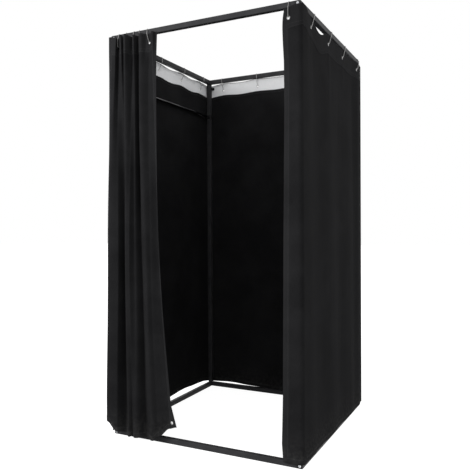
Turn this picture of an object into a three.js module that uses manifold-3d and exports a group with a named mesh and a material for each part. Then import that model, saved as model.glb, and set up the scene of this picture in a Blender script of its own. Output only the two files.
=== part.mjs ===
// Portable fitting room: a square tube frame about a metre across, three wall curtains hooked to its
// top rails, a door curtain that slides along the front rail on its own hooks, and a garment rail.
// Millimetres, +Z up. The doorway faces -Y and the garment rail is at -X. The floor is at zero.
import * as THREE from 'three';
import { RoundedBoxGeometry } from 'three/addons/geometries/RoundedBoxGeometry.js';
import { mergeVertices } from 'three/addons/utils/BufferGeometryUtils.js';
import Module from 'manifold-3d';

const wasm = await Module();
wasm.setup();

// Sizes shared by the whole booth
const booth = { width: 1000, depth: 1000, height: 2000 };
const tube = { side: 25, wall: 1.5, corner_radius: 2.5, corner_steps: 2 };
const fit = 0.3; // clearance between pieces that touch
const overrun = 1; // how far a cutter, or a piece that is joined on, runs past a face

// Corner blocks: a cube with three pegs that push into the tubes
const block = { edge_radius: 2, edge_steps: 1 };
const peg = { length: 45, tip_taper: 3, slot_width: 2.4, slot_length: 30 };

// Screws that pass through the corner blocks along Y and spread the slotted peg
const screw = {
  head_radius: 6.5,
  head_height: 3.4,
  rim_height: 1,
  crown_share: 0.62,
  socket_radius: 2.3,
  socket_depth: 1.8,
  shank_radius: 2.5,
  shank_length: 58,
  sides: 12,
};

// Garment rail on the left, held by a collar round each left post
const garment = { radius: 8, wall: 1.2, drop: 213, sides: 20 }; // drop from the top rails
const collar = { wall: 3.5, height: 20, socket_wall: 3, socket_length: 18, edge_radius: 3 };

// Hooks: wire loops round the rail that carry the curtains by their eyelets
const hook = {
  wire_radius: 1.1,
  wire_sides: 5,
  drop: 44, // from the underside of the rail to the lowest point of the wire's middle
  bend_radius: 6,
  bend_steps: 6,
  corner_radius: 3,
  corner_steps: 2,
  shoulder_drop: 2.2,
  latch_gap: 3,
  latch_share: 0.72,
};

// Cloth and its metal eyelets
const cloth = { thickness: 1.5, top_gap: 1, shortest_edge: 0.1 };
const eyelet = { radius: 9, hole_radius: 5, proud: 0.8, sides: 12, wire_gap: 0.9 };

// Wall curtains: they pass outside the posts and tuck under the rails between them
const wall_cloth = {
  stand_off: 7.5, // middle of the cloth outside the face of the frame, at the posts
  flat_length: 18, // along a rail from its post, before the cloth starts to come in under the rail
  tuck_length: 120,
  end_gap: 2.5, // from the end of a wall curtain to the plane of the next one
  corner_radius: 20,
  corner_steps: 5,
  column_pitch: 28,
  wave_depth: 3.5,
  wave_length: 330,
  sag: 36,
  return_rise: 8,
  return_rise_length: 66,
};
const wall_row_shares = [0, 0.045, 0.25, 0.5, 0.75, 1];

// Each wall curtain's hooks, as shares of half the booth from the middle of its wall, each bay's
// share of the full sag, how far the cloth comes in under the rail away from the posts, how high its
// lower edge hangs at its two ends, and how far the hooks' feet lean along the rail
const left_wall = {
  hook_shares: [-0.91, -0.658, -0.17, 0.318, 0.786],
  sag_shares: [0.11, 0.11, 0.29, 0.36, 0.33, 0.18],
  tuck: 7,
  foot_start: 16,
  foot_end: 52,
  hook_lean: 0,
};
const back_wall = {
  hook_shares: [-0.776, -0.284, 0.208, 0.7],
  sag_shares: [0.33, 0.2, 0.11, 0.25, 0.22],
  tuck: 13,
  foot_start: 40,
  foot_end: 24,
  hook_lean: 0,
};
const right_wall = {
  hook_shares: [-0.62, -0.088, 0.408, 0.93],
  sag_shares: [0.04, 1, 0.16, 0.14, 0.11],
  tuck: 13,
  foot_start: 19,
  foot_end: 15,
  hook_lean: -46,
  return_length: 88,
  return_hook_inset: 27,
};

// Door curtain, gathered at the left. Its size is given at three levels: the header, the waist and
// the foot. Left overhangs and offsets are from the outer face of the left post and the middle line
// of the front rail, and the folds lie between the offset and the offset plus the depth.
const door = {
  widths: [282, 296, 394],
  left_overhangs: [0, 6, 27],
  back_offsets: [6, 8, 20.5],
  fold_depths: [62, 62, 52],
  waist_height: 1130,
  foot_height: 14,
  foot_rise: 78,
  crest_rise: 5, // how far the crests in front of the rail stand above the rest of the header
  spare_eyelet_height: 108, // an eyelet with no hook, near the lower corner of the leading edge
};

// Fold lines run from the header down to the foot. Each has shares at the three levels: its place
// across the width, and its place forward in the depth. Crest and rise are its shares of the
// header's crest rise and of the rise of the lower edge.
const door_line_shares = [
  { across: [0, 0, 0], forward: [0.58, 0.55, 0.26], crest: 0.7, rise: 0.7 },
  { across: [0.106, 0.095, 0.056], forward: [0.94, 0.95, 0.84], crest: 1, rise: 0.28 },
  { across: [0.16, 0.189, 0.228], forward: [0.15, 0.07, 0.07], crest: 0, rise: 0.03 },
  { across: [0.248, 0.27, 0.287], forward: [0.65, 0.68, 0.57], crest: 0.9, rise: 0.03 },
  { across: [0.326, 0.331, 0.34], forward: [0.16, 0.48, 0.14], crest: 0, rise: 0.02 },
  { across: [0.411, 0.412, 0.378], forward: [0.9, 0.95, 0.91], crest: 0.8, rise: 0.02 },
  { across: [0.489, 0.473, 0.429], forward: [0.15, 0.65, 0.53], crest: 0, rise: 0.03 },
  { across: [0.546, 0.527, 0.48], forward: [0.61, 0.87, 0.91], crest: 0, rise: 0 },
  { across: [0.603, 0.581, 0.513], forward: [0, 0.03, 0.07], crest: 0, rise: 0.02 },
  { across: [0.681, 0.736, 0.673], forward: [0.39, 0.84, 0.95], crest: 0, rise: 0 },
  { across: [0.837, 0.824, 0.774], forward: [0.23, 0.8, 0.76], crest: 0, rise: 0.25 },
  { across: [0.929, 0.973, 0.952], forward: [0.58, 0.84, 0.88], crest: 0, rise: 0.75 },
  { across: [1, 1, 1], forward: [0.32, 0.55, 0.45], crest: 0, rise: 1 },
];
const door_hook_lines = [2, 4, 6, 8, 10]; // the fold lines that hang on a hook
const door_hook_leans = [0, 0, 0, 0, 20]; // how far each hook's foot hangs to the right of its top
const door_spare_eyelet_line = 10; // the spare eyelet is pressed in between this line and the next
const door_row_shares = [0, 0.03, 0.07, 0.2, 0.43, 0.7, 1];
const door_relax_share = 0.2; // how far down the flat-backed header folds turn into round ones

// From a back fold to a front fold: places across and forward at the header, where the eyelets
// keep the back flat, and lower down, where the fold is round
const header_across_shares = [0, 0.42, 0.56, 0.7, 0.86, 1];
const header_forward_shares = [0, 0, 0.3, 0.74, 0.97, 1];
const round_across_shares = [0, 0.2, 0.4, 0.6, 0.8, 1];
const round_forward_shares = [0, 0.095, 0.345, 0.655, 0.905, 1];

// Clips that hold the back curtain's header to the back posts
const clip = { thickness: 3, height: 18, width: 15, post_grip: 6 };

// Lines that the rest is measured from
const half = { x: booth.width / 2, y: booth.depth / 2 };
const rail_middle = { x: half.x - tube.side / 2, y: half.y - tube.side / 2 };
const rail_under = booth.height - tube.side;
const cloth_top = rail_under - cloth.top_gap;
const wire_foot = rail_under - hook.drop;
const eyelet_height = wire_foot + hook.wire_radius + eyelet.wire_gap - eyelet.hole_radius;
const cloth_plane = tube.side / 2 + wall_cloth.stand_off; // outward from a rail's middle line
const garment_height = rail_under - garment.drop;
const waist_share = (cloth_top - door.waist_height) / (cloth_top - door.foot_height);

const finishes = {
  steel_tube: { color: 0x26262a, roughness: 0.42, metalness: 0.55 },
  black_plastic: { color: 0x151517, roughness: 0.55, metalness: 0 },
  nickel_wire: { color: 0xb9bcc0, roughness: 0.3, metalness: 0.95 },
  curtain_cloth: { color: 0x1b1b1d, roughness: 0.92, metalness: 0 },
};

const fitting_room = new THREE.Group();

function addPiece(name, geometry, finish) {
  const piece = new THREE.Mesh(geometry, new THREE.MeshStandardMaterial(finishes[finish]));
  piece.name = name;
  fitting_room.add(piece);
  return piece;
}

const mix = (from, to, share) => from + (to - from) * share;

const ease = (share) => share * share * (3 - 2 * share);

const clamp_share = (share) => Math.min(Math.max(share, 0), 1);

// A closed three.js geometry as a solid for joins and cuts
function solidOf(geometry) {
  const positions = geometry.index ? geometry.toNonIndexed() : geometry;
  const bare = new THREE.BufferGeometry();
  bare.setAttribute('position', positions.getAttribute('position'));
  const merged = mergeVertices(bare);
  const corners = merged.index.array;
  const kept = [];
  for (let i = 0; i < corners.length; i += 3) {
    const [a, b, c] = [corners[i], corners[i + 1], corners[i + 2]];
    if (a !== b && b !== c && c !== a) kept.push(a, b, c);
  }
  return new wasm.Manifold(
    new wasm.Mesh({
      numProp: 3,
      vertProperties: merged.getAttribute('position').array,
      triVerts: new Uint32Array(kept),
    }),
  );
}

// A cut cloth without the hair-thin faces that its cuts leave
const tidied = (solid) => solid.simplify(cloth.shortest_edge);

// A solid back as a three.js geometry
function geometryOf(solid) {
  const mesh = solid.getMesh();
  const geometry = new THREE.BufferGeometry();
  const places = new Float32Array(mesh.vertProperties);
  geometry.setAttribute('position', new THREE.BufferAttribute(places, mesh.numProp));
  geometry.setIndex(new THREE.BufferAttribute(new Uint32Array(mesh.triVerts), 1));
  geometry.computeVertexNormals();
  return geometry;
}

// A square with rounded corners, centred on its own middle
function roundedSquare(side, radius) {
  const reach = side / 2 - radius;
  const quarter = Math.PI / 2;
  const outline = new THREE.Shape();
  outline.absarc(reach, reach, radius, 0, quarter);
  outline.absarc(-reach, reach, radius, quarter, 2 * quarter);
  outline.absarc(-reach, -reach, radius, 2 * quarter, 3 * quarter);
  outline.absarc(reach, -reach, radius, 3 * quarter, 4 * quarter);
  outline.closePath();
  return outline;
}

function roundOutline(radius) {
  const outline = new THREE.Shape();
  outline.absarc(0, 0, radius, 0, 2 * Math.PI);
  return outline;
}

function extrude(outline, depth, curveSegments) {
  return new THREE.ExtrudeGeometry(outline, { depth, bevelEnabled: false, curveSegments });
}

// A square tube of a given length, standing on the origin
function squareTube(length) {
  const section = roundedSquare(tube.side, tube.corner_radius);
  section.holes.push(roundedSquare(tube.side - 2 * tube.wall, tube.corner_radius - tube.wall));
  return extrude(section, length, tube.corner_steps);
}

function addPosts() {
  const length = booth.height - 2 * (tube.side + fit);
  for (const [end, y] of [['front', -rail_middle.y], ['back', rail_middle.y]]) {
    for (const [side, x] of [['left', -rail_middle.x], ['right', rail_middle.x]]) {
      const post = addPiece(`post_${end}_${side}`, squareTube(length), 'steel_tube');
      post.position.set(x, y, tube.side + fit);
    }
  }
}

function addRails(level, height) {
  const across = booth.width - 2 * (tube.side + fit);
  const along = booth.depth - 2 * (tube.side + fit);
  for (const [end, y] of [['front', -rail_middle.y], ['back', rail_middle.y]]) {
    const geometry = squareTube(across).rotateY(Math.PI / 2);
    const rail = addPiece(`${level}_rail_${end}`, geometry, 'steel_tube');
    rail.position.set(-across / 2, y, height);
  }
  for (const [side, x] of [['left', -rail_middle.x], ['right', rail_middle.x]]) {
    const geometry = squareTube(along).rotateX(-Math.PI / 2);
    const rail = addPiece(`${level}_rail_${side}`, geometry, 'steel_tube');
    rail.position.set(x, -along / 2, height);
  }
}

// A square peg that starts at the middle of its block and points along an axis
function pegSolid(direction) {
  const half_width = tube.side / 2 - tube.wall - fit;
  const reach = tube.side / 2 + peg.length;
  const profile = [
    new THREE.Vector2(0, 0),
    new THREE.Vector2(half_width, 0),
    new THREE.Vector2(half_width, reach - peg.tip_taper),
    new THREE.Vector2(half_width - peg.tip_taper / 2, reach),
    new THREE.Vector2(0, reach),
  ].map((point) => point.setX(point.x * Math.SQRT2));
  const geometry = new THREE.LatheGeometry(profile, 4).rotateY(Math.PI / 4);
  const turn = new THREE.Quaternion().setFromUnitVectors(new THREE.Vector3(0, 1, 0), direction);
  return solidOf(geometry.applyQuaternion(turn));
}

// One corner block, centred on its cube, with its pegs pointing into the frame
function cornerBlock(inward) {
  const cube = new RoundedBoxGeometry(
    tube.side, tube.side, tube.side, block.edge_steps, block.edge_radius,
  );
  const pegs = [
    new THREE.Vector3(inward.x, 0, 0),
    new THREE.Vector3(0, inward.y, 0),
    new THREE.Vector3(0, 0, inward.z),
  ].map(pegSolid);
  const reach = tube.side / 2 + peg.length + overrun;
  const bore_radius = screw.shank_radius + fit;
  const bore = new THREE.CylinderGeometry(bore_radius, bore_radius, 2 * reach, screw.sides);
  const slot = new THREE.BoxGeometry(tube.side, peg.slot_length + overrun, peg.slot_width);
  slot.translate(0, inward.y * (reach - (peg.slot_length + overrun) / 2), 0);
  let solid = solidOf(cube);
  for (const one of pegs) solid = solid.add(one);
  return geometryOf(solid.subtract(solidOf(bore)).subtract(solidOf(slot)));
}

// Domed socket-head screw, its seat on the origin and its shank along +Y
function screwGeometry() {
  const top = -screw.head_height;
  const profile = [
    new THREE.Vector2(0, top + screw.socket_depth),
    new THREE.Vector2(screw.socket_radius, top + screw.socket_depth),
    new THREE.Vector2(screw.socket_radius, top),
    new THREE.Vector2(screw.head_radius * screw.crown_share, top),
    new THREE.Vector2(screw.head_radius, -screw.rim_height),
    new THREE.Vector2(screw.head_radius, 0),
    new THREE.Vector2(screw.shank_radius, 0),
    new THREE.Vector2(screw.shank_radius, screw.shank_length),
    new THREE.Vector2(0, screw.shank_length),
  ];
  return new THREE.LatheGeometry(profile, screw.sides);
}

function addCorners() {
  for (const [level, up] of [['top', 1], ['floor', -1]]) {
    for (const [end, back] of [['front', -1], ['back', 1]]) {
      for (const [side, right] of [['left', -1], ['right', 1]]) {
        const place = `${level}_${end}_${side}`;
        const height = up > 0 ? booth.height - tube.side / 2 : tube.side / 2;
        const inward = new THREE.Vector3(-right, -back, -up);
        const corner = addPiece(`corner_block_${place}`, cornerBlock(inward), 'black_plastic');
        corner.position.set(right * rail_middle.x, back * rail_middle.y, height);
        const bolt = addPiece(`corner_screw_${place}`, screwGeometry(), 'nickel_wire');
        bolt.position.set(right * rail_middle.x, back * (half.y + fit), height);
        bolt.rotation.z = back > 0 ? Math.PI : 0;
      }
    }
  }
}

// A collar round a post, centred on it, with a socket for the garment rail along +Y
function collarGeometry() {
  const opening = tube.side + 2 * fit;
  const outer = opening + 2 * collar.wall;
  const socket_radius = garment.radius + fit + collar.socket_wall;
  const socket_end = outer / 2 + collar.socket_length;
  const ring = extrude(roundedSquare(outer, collar.edge_radius), collar.height, tube.corner_steps);
  ring.translate(0, 0, -collar.height / 2);
  const hole_depth = 2 * (socket_radius + overrun);
  const hole = extrude(roundedSquare(opening, tube.corner_radius), hole_depth, tube.corner_steps);
  hole.translate(0, 0, -hole_depth / 2);
  const socket = new THREE.CylinderGeometry(socket_radius, socket_radius, socket_end, garment.sides);
  socket.translate(0, socket_end / 2, 0);
  const bore_radius = garment.radius + fit;
  const bore_length = collar.socket_length + overrun;
  const bore = new THREE.CylinderGeometry(bore_radius, bore_radius, bore_length, garment.sides);
  bore.translate(0, outer / 2 + bore_length / 2, 0);
  return geometryOf(
    solidOf(ring).add(solidOf(socket)).subtract(solidOf(hole)).subtract(solidOf(bore)),
  );
}

function addGarmentRail() {
  for (const [end, back] of [['front', -1], ['back', 1]]) {
    const piece = addPiece(`garment_rail_collar_${end}`, collarGeometry(), 'black_plastic');
    piece.position.set(-rail_middle.x, back * rail_middle.y, garment_height);
    piece.rotation.z = back > 0 ? Math.PI : 0;
  }
  const end_inset = tube.side / 2 + fit + collar.wall + fit;
  const length = 2 * (rail_middle.y - end_inset);
  const section = roundOutline(garment.radius);
  section.holes.push(roundOutline(garment.radius - garment.wall));
  const geometry = extrude(section, length, garment.sides / 2).rotateX(-Math.PI / 2);
  const rail = addPiece('garment_rail', geometry, 'steel_tube');
  rail.position.set(-rail_middle.x, -length / 2, garment_height);
}

// A path through listed points, which an extrusion follows point by point
class ListedPath extends THREE.Curve {
  constructor(points) {
    super();
    this.points = points;
  }

  getPoint(share, target = new THREE.Vector3()) {
    const place = share * (this.points.length - 1);
    const before = Math.min(Math.floor(place), this.points.length - 2);
    return target.lerpVectors(this.points[before], this.points[before + 1], place - before);
  }

  getPointAt(share, target) {
    return this.getPoint(share, target);
  }

  getTangentAt(share, target = new THREE.Vector3()) {
    const here = Math.round(share * (this.points.length - 1));
    const last = this.points.length - 1;
    const leaving = this.directionFrom(Math.min(here, last - 1));
    return target.copy(leaving).add(this.directionFrom(Math.max(here - 1, 0))).normalize();
  }

  directionFrom(index) {
    return this.points[index + 1].clone().sub(this.points[index]).normalize();
  }
}

// Points of an arc in the plane of a hook, from one angle to another
function arcPoints(centre, radius, from, to, steps) {
  const points = [];
  for (let i = 0; i <= steps; i += 1) {
    const angle = mix(from, to, i / steps);
    points.push([centre[0] + radius * Math.cos(angle), centre[1] + radius * Math.sin(angle)]);
  }
  return points;
}

// The wire's middle line, as distances out from the rail's middle line and heights. It starts at
// the latch on the inner leg, goes round the rail, through the eyelet and back up to the latch.
function hookLine(out) {
  const side = tube.side / 2 + fit + hook.wire_radius;
  const over = booth.height + fit + hook.wire_radius;
  const under = rail_under - hook.shoulder_drop;
  const shoulder = Math.max(side, out + hook.bend_radius);
  const bend_height = wire_foot + hook.bend_radius;
  const inner_foot = [out - hook.bend_radius, bend_height];
  const inner_shoulder = [-side, under];
  const leg = (share) => [
    mix(inner_foot[0], inner_shoulder[0], share),
    mix(inner_foot[1], inner_shoulder[1], share),
  ];
  const gap_share = hook.latch_gap / (inner_shoulder[1] - inner_foot[1]);
  const r = hook.corner_radius;
  const quarter = Math.PI / 2;
  return [
    leg(hook.latch_share + gap_share),
    inner_shoulder,
    ...arcPoints([-side + r, over - r], r, 2 * quarter, quarter, hook.corner_steps),
    ...arcPoints([side - r, over - r], r, quarter, 0, hook.corner_steps),
    [shoulder, under],
    ...arcPoints([out, bend_height], hook.bend_radius, 0, -2 * quarter, hook.bend_steps),
    leg(hook.latch_share),
  ];
}

// A hook on a rail: along and outward are the rail's directions, lean moves its foot along the rail
function hookGeometry(middle, along, outward, out, lean) {
  const lean_height = booth.height - wire_foot;
  const points = hookLine(out).map(([distance, height]) => {
    const drift = lean * Math.max(0, (booth.height - height) / lean_height);
    const point = new THREE.Vector3(middle.x, middle.y, height);
    return point.addScaledVector(outward, distance).addScaledVector(along, drift);
  });
  const section = new THREE.Shape();
  for (let i = 0; i < hook.wire_sides; i += 1) {
    const angle = (2 * Math.PI * i) / hook.wire_sides;
    const corner = [hook.wire_radius * Math.cos(angle), hook.wire_radius * Math.sin(angle)];
    if (i === 0) section.moveTo(...corner);
    else section.lineTo(...corner);
  }
  section.closePath();
  const path = new ListedPath(points);
  return new THREE.ExtrudeGeometry(section, { steps: points.length - 1, extrudePath: path });
}

// A sheet of even thickness about a grid of middle points: rows run down, columns run along
function sheetSolid(grid) {
  const rows = grid.length;
  const columns = grid[0].length;
  const places = [];
  for (const side of [1, -1]) {
    for (const row of grid) {
      row.forEach((point, column) => {
        const before = row[Math.max(column - 1, 0)];
        const after = row[Math.min(column + 1, columns - 1)];
        const run = new THREE.Vector2(after.x - before.x, after.y - before.y).normalize();
        const lift = (side * cloth.thickness) / 2;
        places.push(point.x + run.y * lift, point.y - run.x * lift, point.z);
      });
    }
  }
  const front = (row, column) => row * columns + column;
  const back = (row, column) => rows * columns + row * columns + column;
  const corners = [];
  const quad = (a, b, c, d) => corners.push(a, b, c, a, c, d);
  for (let r = 0; r < rows - 1; r += 1) {
    for (let c = 0; c < columns - 1; c += 1) {
      quad(front(r + 1, c), front(r + 1, c + 1), front(r, c + 1), front(r, c));
      quad(back(r, c + 1), back(r + 1, c + 1), back(r + 1, c), back(r, c));
    }
    const end = columns - 1;
    quad(back(r + 1, 0), front(r + 1, 0), front(r, 0), back(r, 0));
    quad(front(r + 1, end), back(r + 1, end), back(r, end), front(r, end));
  }
  const foot = rows - 1;
  for (let c = 0; c < columns - 1; c += 1) {
    quad(front(0, c), front(0, c + 1), back(0, c + 1), back(0, c));
    quad(back(foot, c), back(foot, c + 1), front(foot, c + 1), front(foot, c));
  }
  const geometry = new THREE.BufferGeometry();
  geometry.setAttribute('position', new THREE.Float32BufferAttribute(places, 3));
  geometry.setIndex(corners);
  return solidOf(geometry);
}

// Presses a metal eyelet into a sheet at a point, square to an outward direction
function withEyelet(solid, point, outward) {
  const turn = new THREE.Quaternion().setFromUnitVectors(new THREE.Vector3(0, 1, 0), outward);
  const disc = (radius, length) =>
    solidOf(
      new THREE.CylinderGeometry(radius, radius, length, eyelet.sides)
        .rotateY(Math.PI / eyelet.sides)
        .applyQuaternion(turn)
        .translate(point.x, point.y, point.z),
    );
  const rim_length = cloth.thickness + 2 * eyelet.proud;
  const hole_length = rim_length + 2 * (wall_cloth.wave_depth + overrun);
  return solid
    .add(disc(eyelet.radius, rim_length))
    .subtract(disc(eyelet.hole_radius, hole_length));
}

// The places along a run at which a sheet has a column, about a pitch apart
function columnPlaces(start, end) {
  const count = Math.ceil((end - start) / wall_cloth.column_pitch);
  return Array.from({ length: count + 1 }, (_, i) => mix(start, end, i / count));
}

// How far a wall curtain comes in from its plane at a place along its wall, at a share of its drop
function wallTuck(wall, place, half_wall, drop_share) {
  const from_post = half_wall - tube.side - wall_cloth.flat_length - Math.abs(place);
  const away = ease(clamp_share(from_post / wall_cloth.tuck_length));
  const wave = wall_cloth.wave_depth * Math.sin((2 * Math.PI * place) / wall_cloth.wave_length);
  const settled = ease(clamp_share(drop_share / wall_row_shares[2]));
  return away * (wall.tuck * (1 - drop_share) + wave * settled);
}

// The sag of a header between its hooks, at a place along the wall
function headerSag(place, hooks, sag_shares, start, end) {
  const stops = [start, ...hooks, end];
  const bay = stops.findIndex((stop, i) => i > 0 && place <= stop) - 1;
  const index = bay < 0 ? stops.length - 2 : bay;
  const share = clamp_share((place - stops[index]) / (stops[index + 1] - stops[index]));
  const depth = wall_cloth.sag * sag_shares[index];
  if (index === 0) return depth * (1 - share) ** 2;
  if (index === stops.length - 2) return depth * share ** 2;
  return depth * Math.sin(Math.PI * share) ** 2;
}

// A wall's own frame: a point on its cloth from a place along it, a distance in and a height
function wallFrame(along, outward, half_wall, half_across) {
  const plane = half_across + wall_cloth.stand_off;
  const at = (place, inward, height) =>
    new THREE.Vector3(0, 0, height)
      .addScaledVector(along, place)
      .addScaledVector(outward, plane - inward);
  return { along, outward, half_wall, half_across, at };
}

// Rows of a wall curtain: where each column stands in plan at each share of the drop
function wallGrid(columns) {
  return wall_row_shares.map((drop_share) =>
    columns.map(({ plan, top, foot }) => plan(drop_share, mix(top, foot, drop_share))),
  );
}

// Hangs the hooks of one wall and presses its eyelets; gives back the finished sheet
function hangOnHooks(solid, wall, frame, name, first_number) {
  let sheet = solid;
  const drop_share = (cloth_top - eyelet_height) / (cloth_top - wall.foot_end);
  wall.hook_shares.forEach((share, index) => {
    const top_place = share * frame.half_wall;
    const foot_place = top_place + wall.hook_lean;
    const inward = wallTuck(wall, foot_place, frame.half_wall, drop_share);
    const eye = frame.at(foot_place, inward, eyelet_height);
    sheet = withEyelet(sheet, eye, frame.outward);
    const rail_line = frame.half_across - tube.side / 2;
    const middle = new THREE.Vector3()
      .addScaledVector(frame.along, top_place)
      .addScaledVector(frame.outward, rail_line);
    const out = cloth_plane - inward;
    const geometry = hookGeometry(middle, frame.along, frame.outward, out, wall.hook_lean);
    addPiece(`hook_${name}_${index + first_number}`, geometry, 'nickel_wire');
  });
  return sheet;
}

// A straight wall curtain between two corners
function addStraightWall(name, wall, frame) {
  const reach = frame.half_wall + wall_cloth.stand_off - wall_cloth.end_gap;
  const hooks = wall.hook_shares.map((share) => share * frame.half_wall);
  const columns = columnPlaces(-reach, reach).map((place) => ({
    top: cloth_top - headerSag(place, hooks, wall.sag_shares, -reach, reach),
    foot: mix(wall.foot_start, wall.foot_end, (place + reach) / (2 * reach)),
    plan: (share, height) => frame.at(place, wallTuck(wall, place, frame.half_wall, share), height),
  }));
  const sheet = hangOnHooks(sheetSolid(wallGrid(columns)), wall, frame, name, 1);
  addPiece(`curtain_${name}`, geometryOf(tidied(sheet)), 'curtain_cloth');
}

// The right wall curtain, which turns round the front post and ends on the front of the booth
function addRightWall() {
  const frame = wallFrame(
    new THREE.Vector3(0, 1, 0), new THREE.Vector3(1, 0, 0), half.y, half.x,
  );
  const wall = right_wall;
  const start = -half.y - wall_cloth.stand_off + wall_cloth.corner_radius;
  const reach = half.y + wall_cloth.stand_off - wall_cloth.end_gap;
  const front_plane = -half.y - wall_cloth.stand_off;
  const edge = half.x - wall.return_length;
  const arc_centre = {
    x: half.x + wall_cloth.stand_off - wall_cloth.corner_radius,
    y: front_plane + wall_cloth.corner_radius,
  };
  const hooks = wall.hook_shares.map((share) => share * frame.half_wall + wall.hook_lean);
  const rise = (distance) =>
    wall_cloth.return_rise * (1 - ease(clamp_share(distance / wall_cloth.return_rise_length)));
  const foot_at = (place) => mix(wall.foot_start, wall.foot_end, (place + reach) / (2 * reach));
  const columns = [];
  const return_hook = half.x - tube.side - wall.return_hook_inset;
  for (const x of columnPlaces(edge, arc_centre.x)) {
    const lift = rise(Math.abs(arc_centre.x - x) + Math.max(0, return_hook - x));
    columns.push({
      top: cloth_top + lift,
      foot: wall.foot_start,
      plan: (share, height) => new THREE.Vector3(x, front_plane, height),
    });
  }
  for (let i = 1; i < wall_cloth.corner_steps; i += 1) {
    const angle = (Math.PI / 2) * (i / wall_cloth.corner_steps);
    const x = arc_centre.x + wall_cloth.corner_radius * Math.sin(angle);
    const y = arc_centre.y - wall_cloth.corner_radius * Math.cos(angle);
    columns.push({
      top: cloth_top + wall_cloth.return_rise,
      foot: wall.foot_start,
      plan: (share, height) => new THREE.Vector3(x, y, height),
    });
  }
  for (const place of columnPlaces(start, reach)) {
    const sag = headerSag(place, hooks, wall.sag_shares, start, reach);
    columns.push({
      top: cloth_top + rise(place - start) - sag,
      foot: foot_at(place),
      plan: (share, height) => frame.at(place, wallTuck(wall, place, half.y, share), height),
    });
  }
  let sheet = sheetSolid(wallGrid(columns));
  const front = new THREE.Vector3(0, -1, 0);
  sheet = withEyelet(sheet, new THREE.Vector3(return_hook, front_plane, eyelet_height), front);
  sheet = hangOnHooks(sheet, wall, frame, 'right', 2);
  const middle = new THREE.Vector3(return_hook, -rail_middle.y, 0);
  const geometry = hookGeometry(middle, new THREE.Vector3(1, 0, 0), front, cloth_plane, 0);
  addPiece('hook_right_1', geometry, 'nickel_wire');
  addPiece('curtain_right', geometryOf(tidied(sheet)), 'curtain_cloth');
}

function addWallCurtains() {
  const left = wallFrame(
    new THREE.Vector3(0, 1, 0), new THREE.Vector3(-1, 0, 0), half.y, half.x,
  );
  const back = wallFrame(
    new THREE.Vector3(1, 0, 0), new THREE.Vector3(0, 1, 0), half.x, half.y,
  );
  addStraightWall('left', left_wall, left);
  addStraightWall('back', back_wall, back);
  addRightWall();
}

// A value that runs smoothly through its header, waist and foot values down the drop
function downDrop([header, waist, foot], drop_share) {
  const from_waist = (drop_share - waist_share) / (1 - waist_share);
  const from_header = drop_share / waist_share;
  return (
    header * (1 - from_header) * (1 - drop_share) +
    waist * from_header * (1 - from_waist) +
    foot * from_waist * drop_share
  );
}

// Where one fold line of the door curtain stands at a share of the drop
function doorLine(line, drop_share) {
  const left = -half.x - downDrop(door.left_overhangs, drop_share);
  const width = downDrop(door.widths, drop_share);
  const offset = downDrop(door.back_offsets, drop_share);
  const depth = downDrop(door.fold_depths, drop_share);
  const forward = downDrop(line.forward, drop_share);
  return {
    x: left + width * downDrop(line.across, drop_share),
    y: -(rail_middle.y + offset + depth * forward),
  };
}

// The height of a point between two fold lines, from how far it is across and towards the second
function doorHeight(from, to, across_share, turn_share, drop_share) {
  const top = cloth_top + door.crest_rise * mix(from.crest, to.crest, turn_share);
  const foot = door.foot_height + door.foot_rise * mix(from.rise, to.rise, across_share);
  return mix(top, foot, drop_share);
}

// The points from one fold line to the next, the first one left out, at a share of the drop
function foldPoints(from, to, drop_share) {
  const relaxed = ease(clamp_share(drop_share / door_relax_share));
  const start = doorLine(from, drop_share);
  const end = doorLine(to, drop_share);
  const forward_going = from.forward[0] < to.forward[0];
  const points = [];
  const last = round_across_shares.length - 1;
  for (let i = 1; i <= last; i += 1) {
    const k = forward_going ? i : last - i;
    const across = mix(header_across_shares[k], round_across_shares[k], relaxed);
    const turn = mix(header_forward_shares[k], round_forward_shares[k], relaxed);
    const across_share = forward_going ? across : 1 - across;
    const turn_share = forward_going ? turn : 1 - turn;
    const height = doorHeight(from, to, across_share, turn_share, drop_share);
    const x = mix(start.x, end.x, across_share);
    points.push(new THREE.Vector3(x, mix(start.y, end.y, turn_share), height));
  }
  return points;
}

function doorRow(drop_share) {
  const [edge] = door_line_shares;
  const first = doorLine(edge, drop_share);
  const row = [new THREE.Vector3(first.x, first.y, doorHeight(edge, edge, 0, 0, drop_share))];
  for (let i = 1; i < door_line_shares.length; i += 1) {
    row.push(...foldPoints(door_line_shares[i - 1], door_line_shares[i], drop_share));
  }
  return row;
}

// Presses the spare eyelet into the middle of the fold between its two lines
function withSpareEyelet(solid) {
  const drop_share = (cloth_top - door.spare_eyelet_height) / (cloth_top - door.foot_height);
  const from = door_line_shares[door_spare_eyelet_line];
  const to = door_line_shares[door_spare_eyelet_line + 1];
  const points = foldPoints(from, to, drop_share);
  const middle = Math.floor(points.length / 2);
  const [before, after] = [points[middle - 1], points[middle]];
  const outward = new THREE.Vector3(after.y - before.y, before.x - after.x, 0).normalize();
  const eye = before.clone().lerp(after, 1 / 2).setZ(door.spare_eyelet_height);
  return withEyelet(solid, eye, outward);
}

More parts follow.
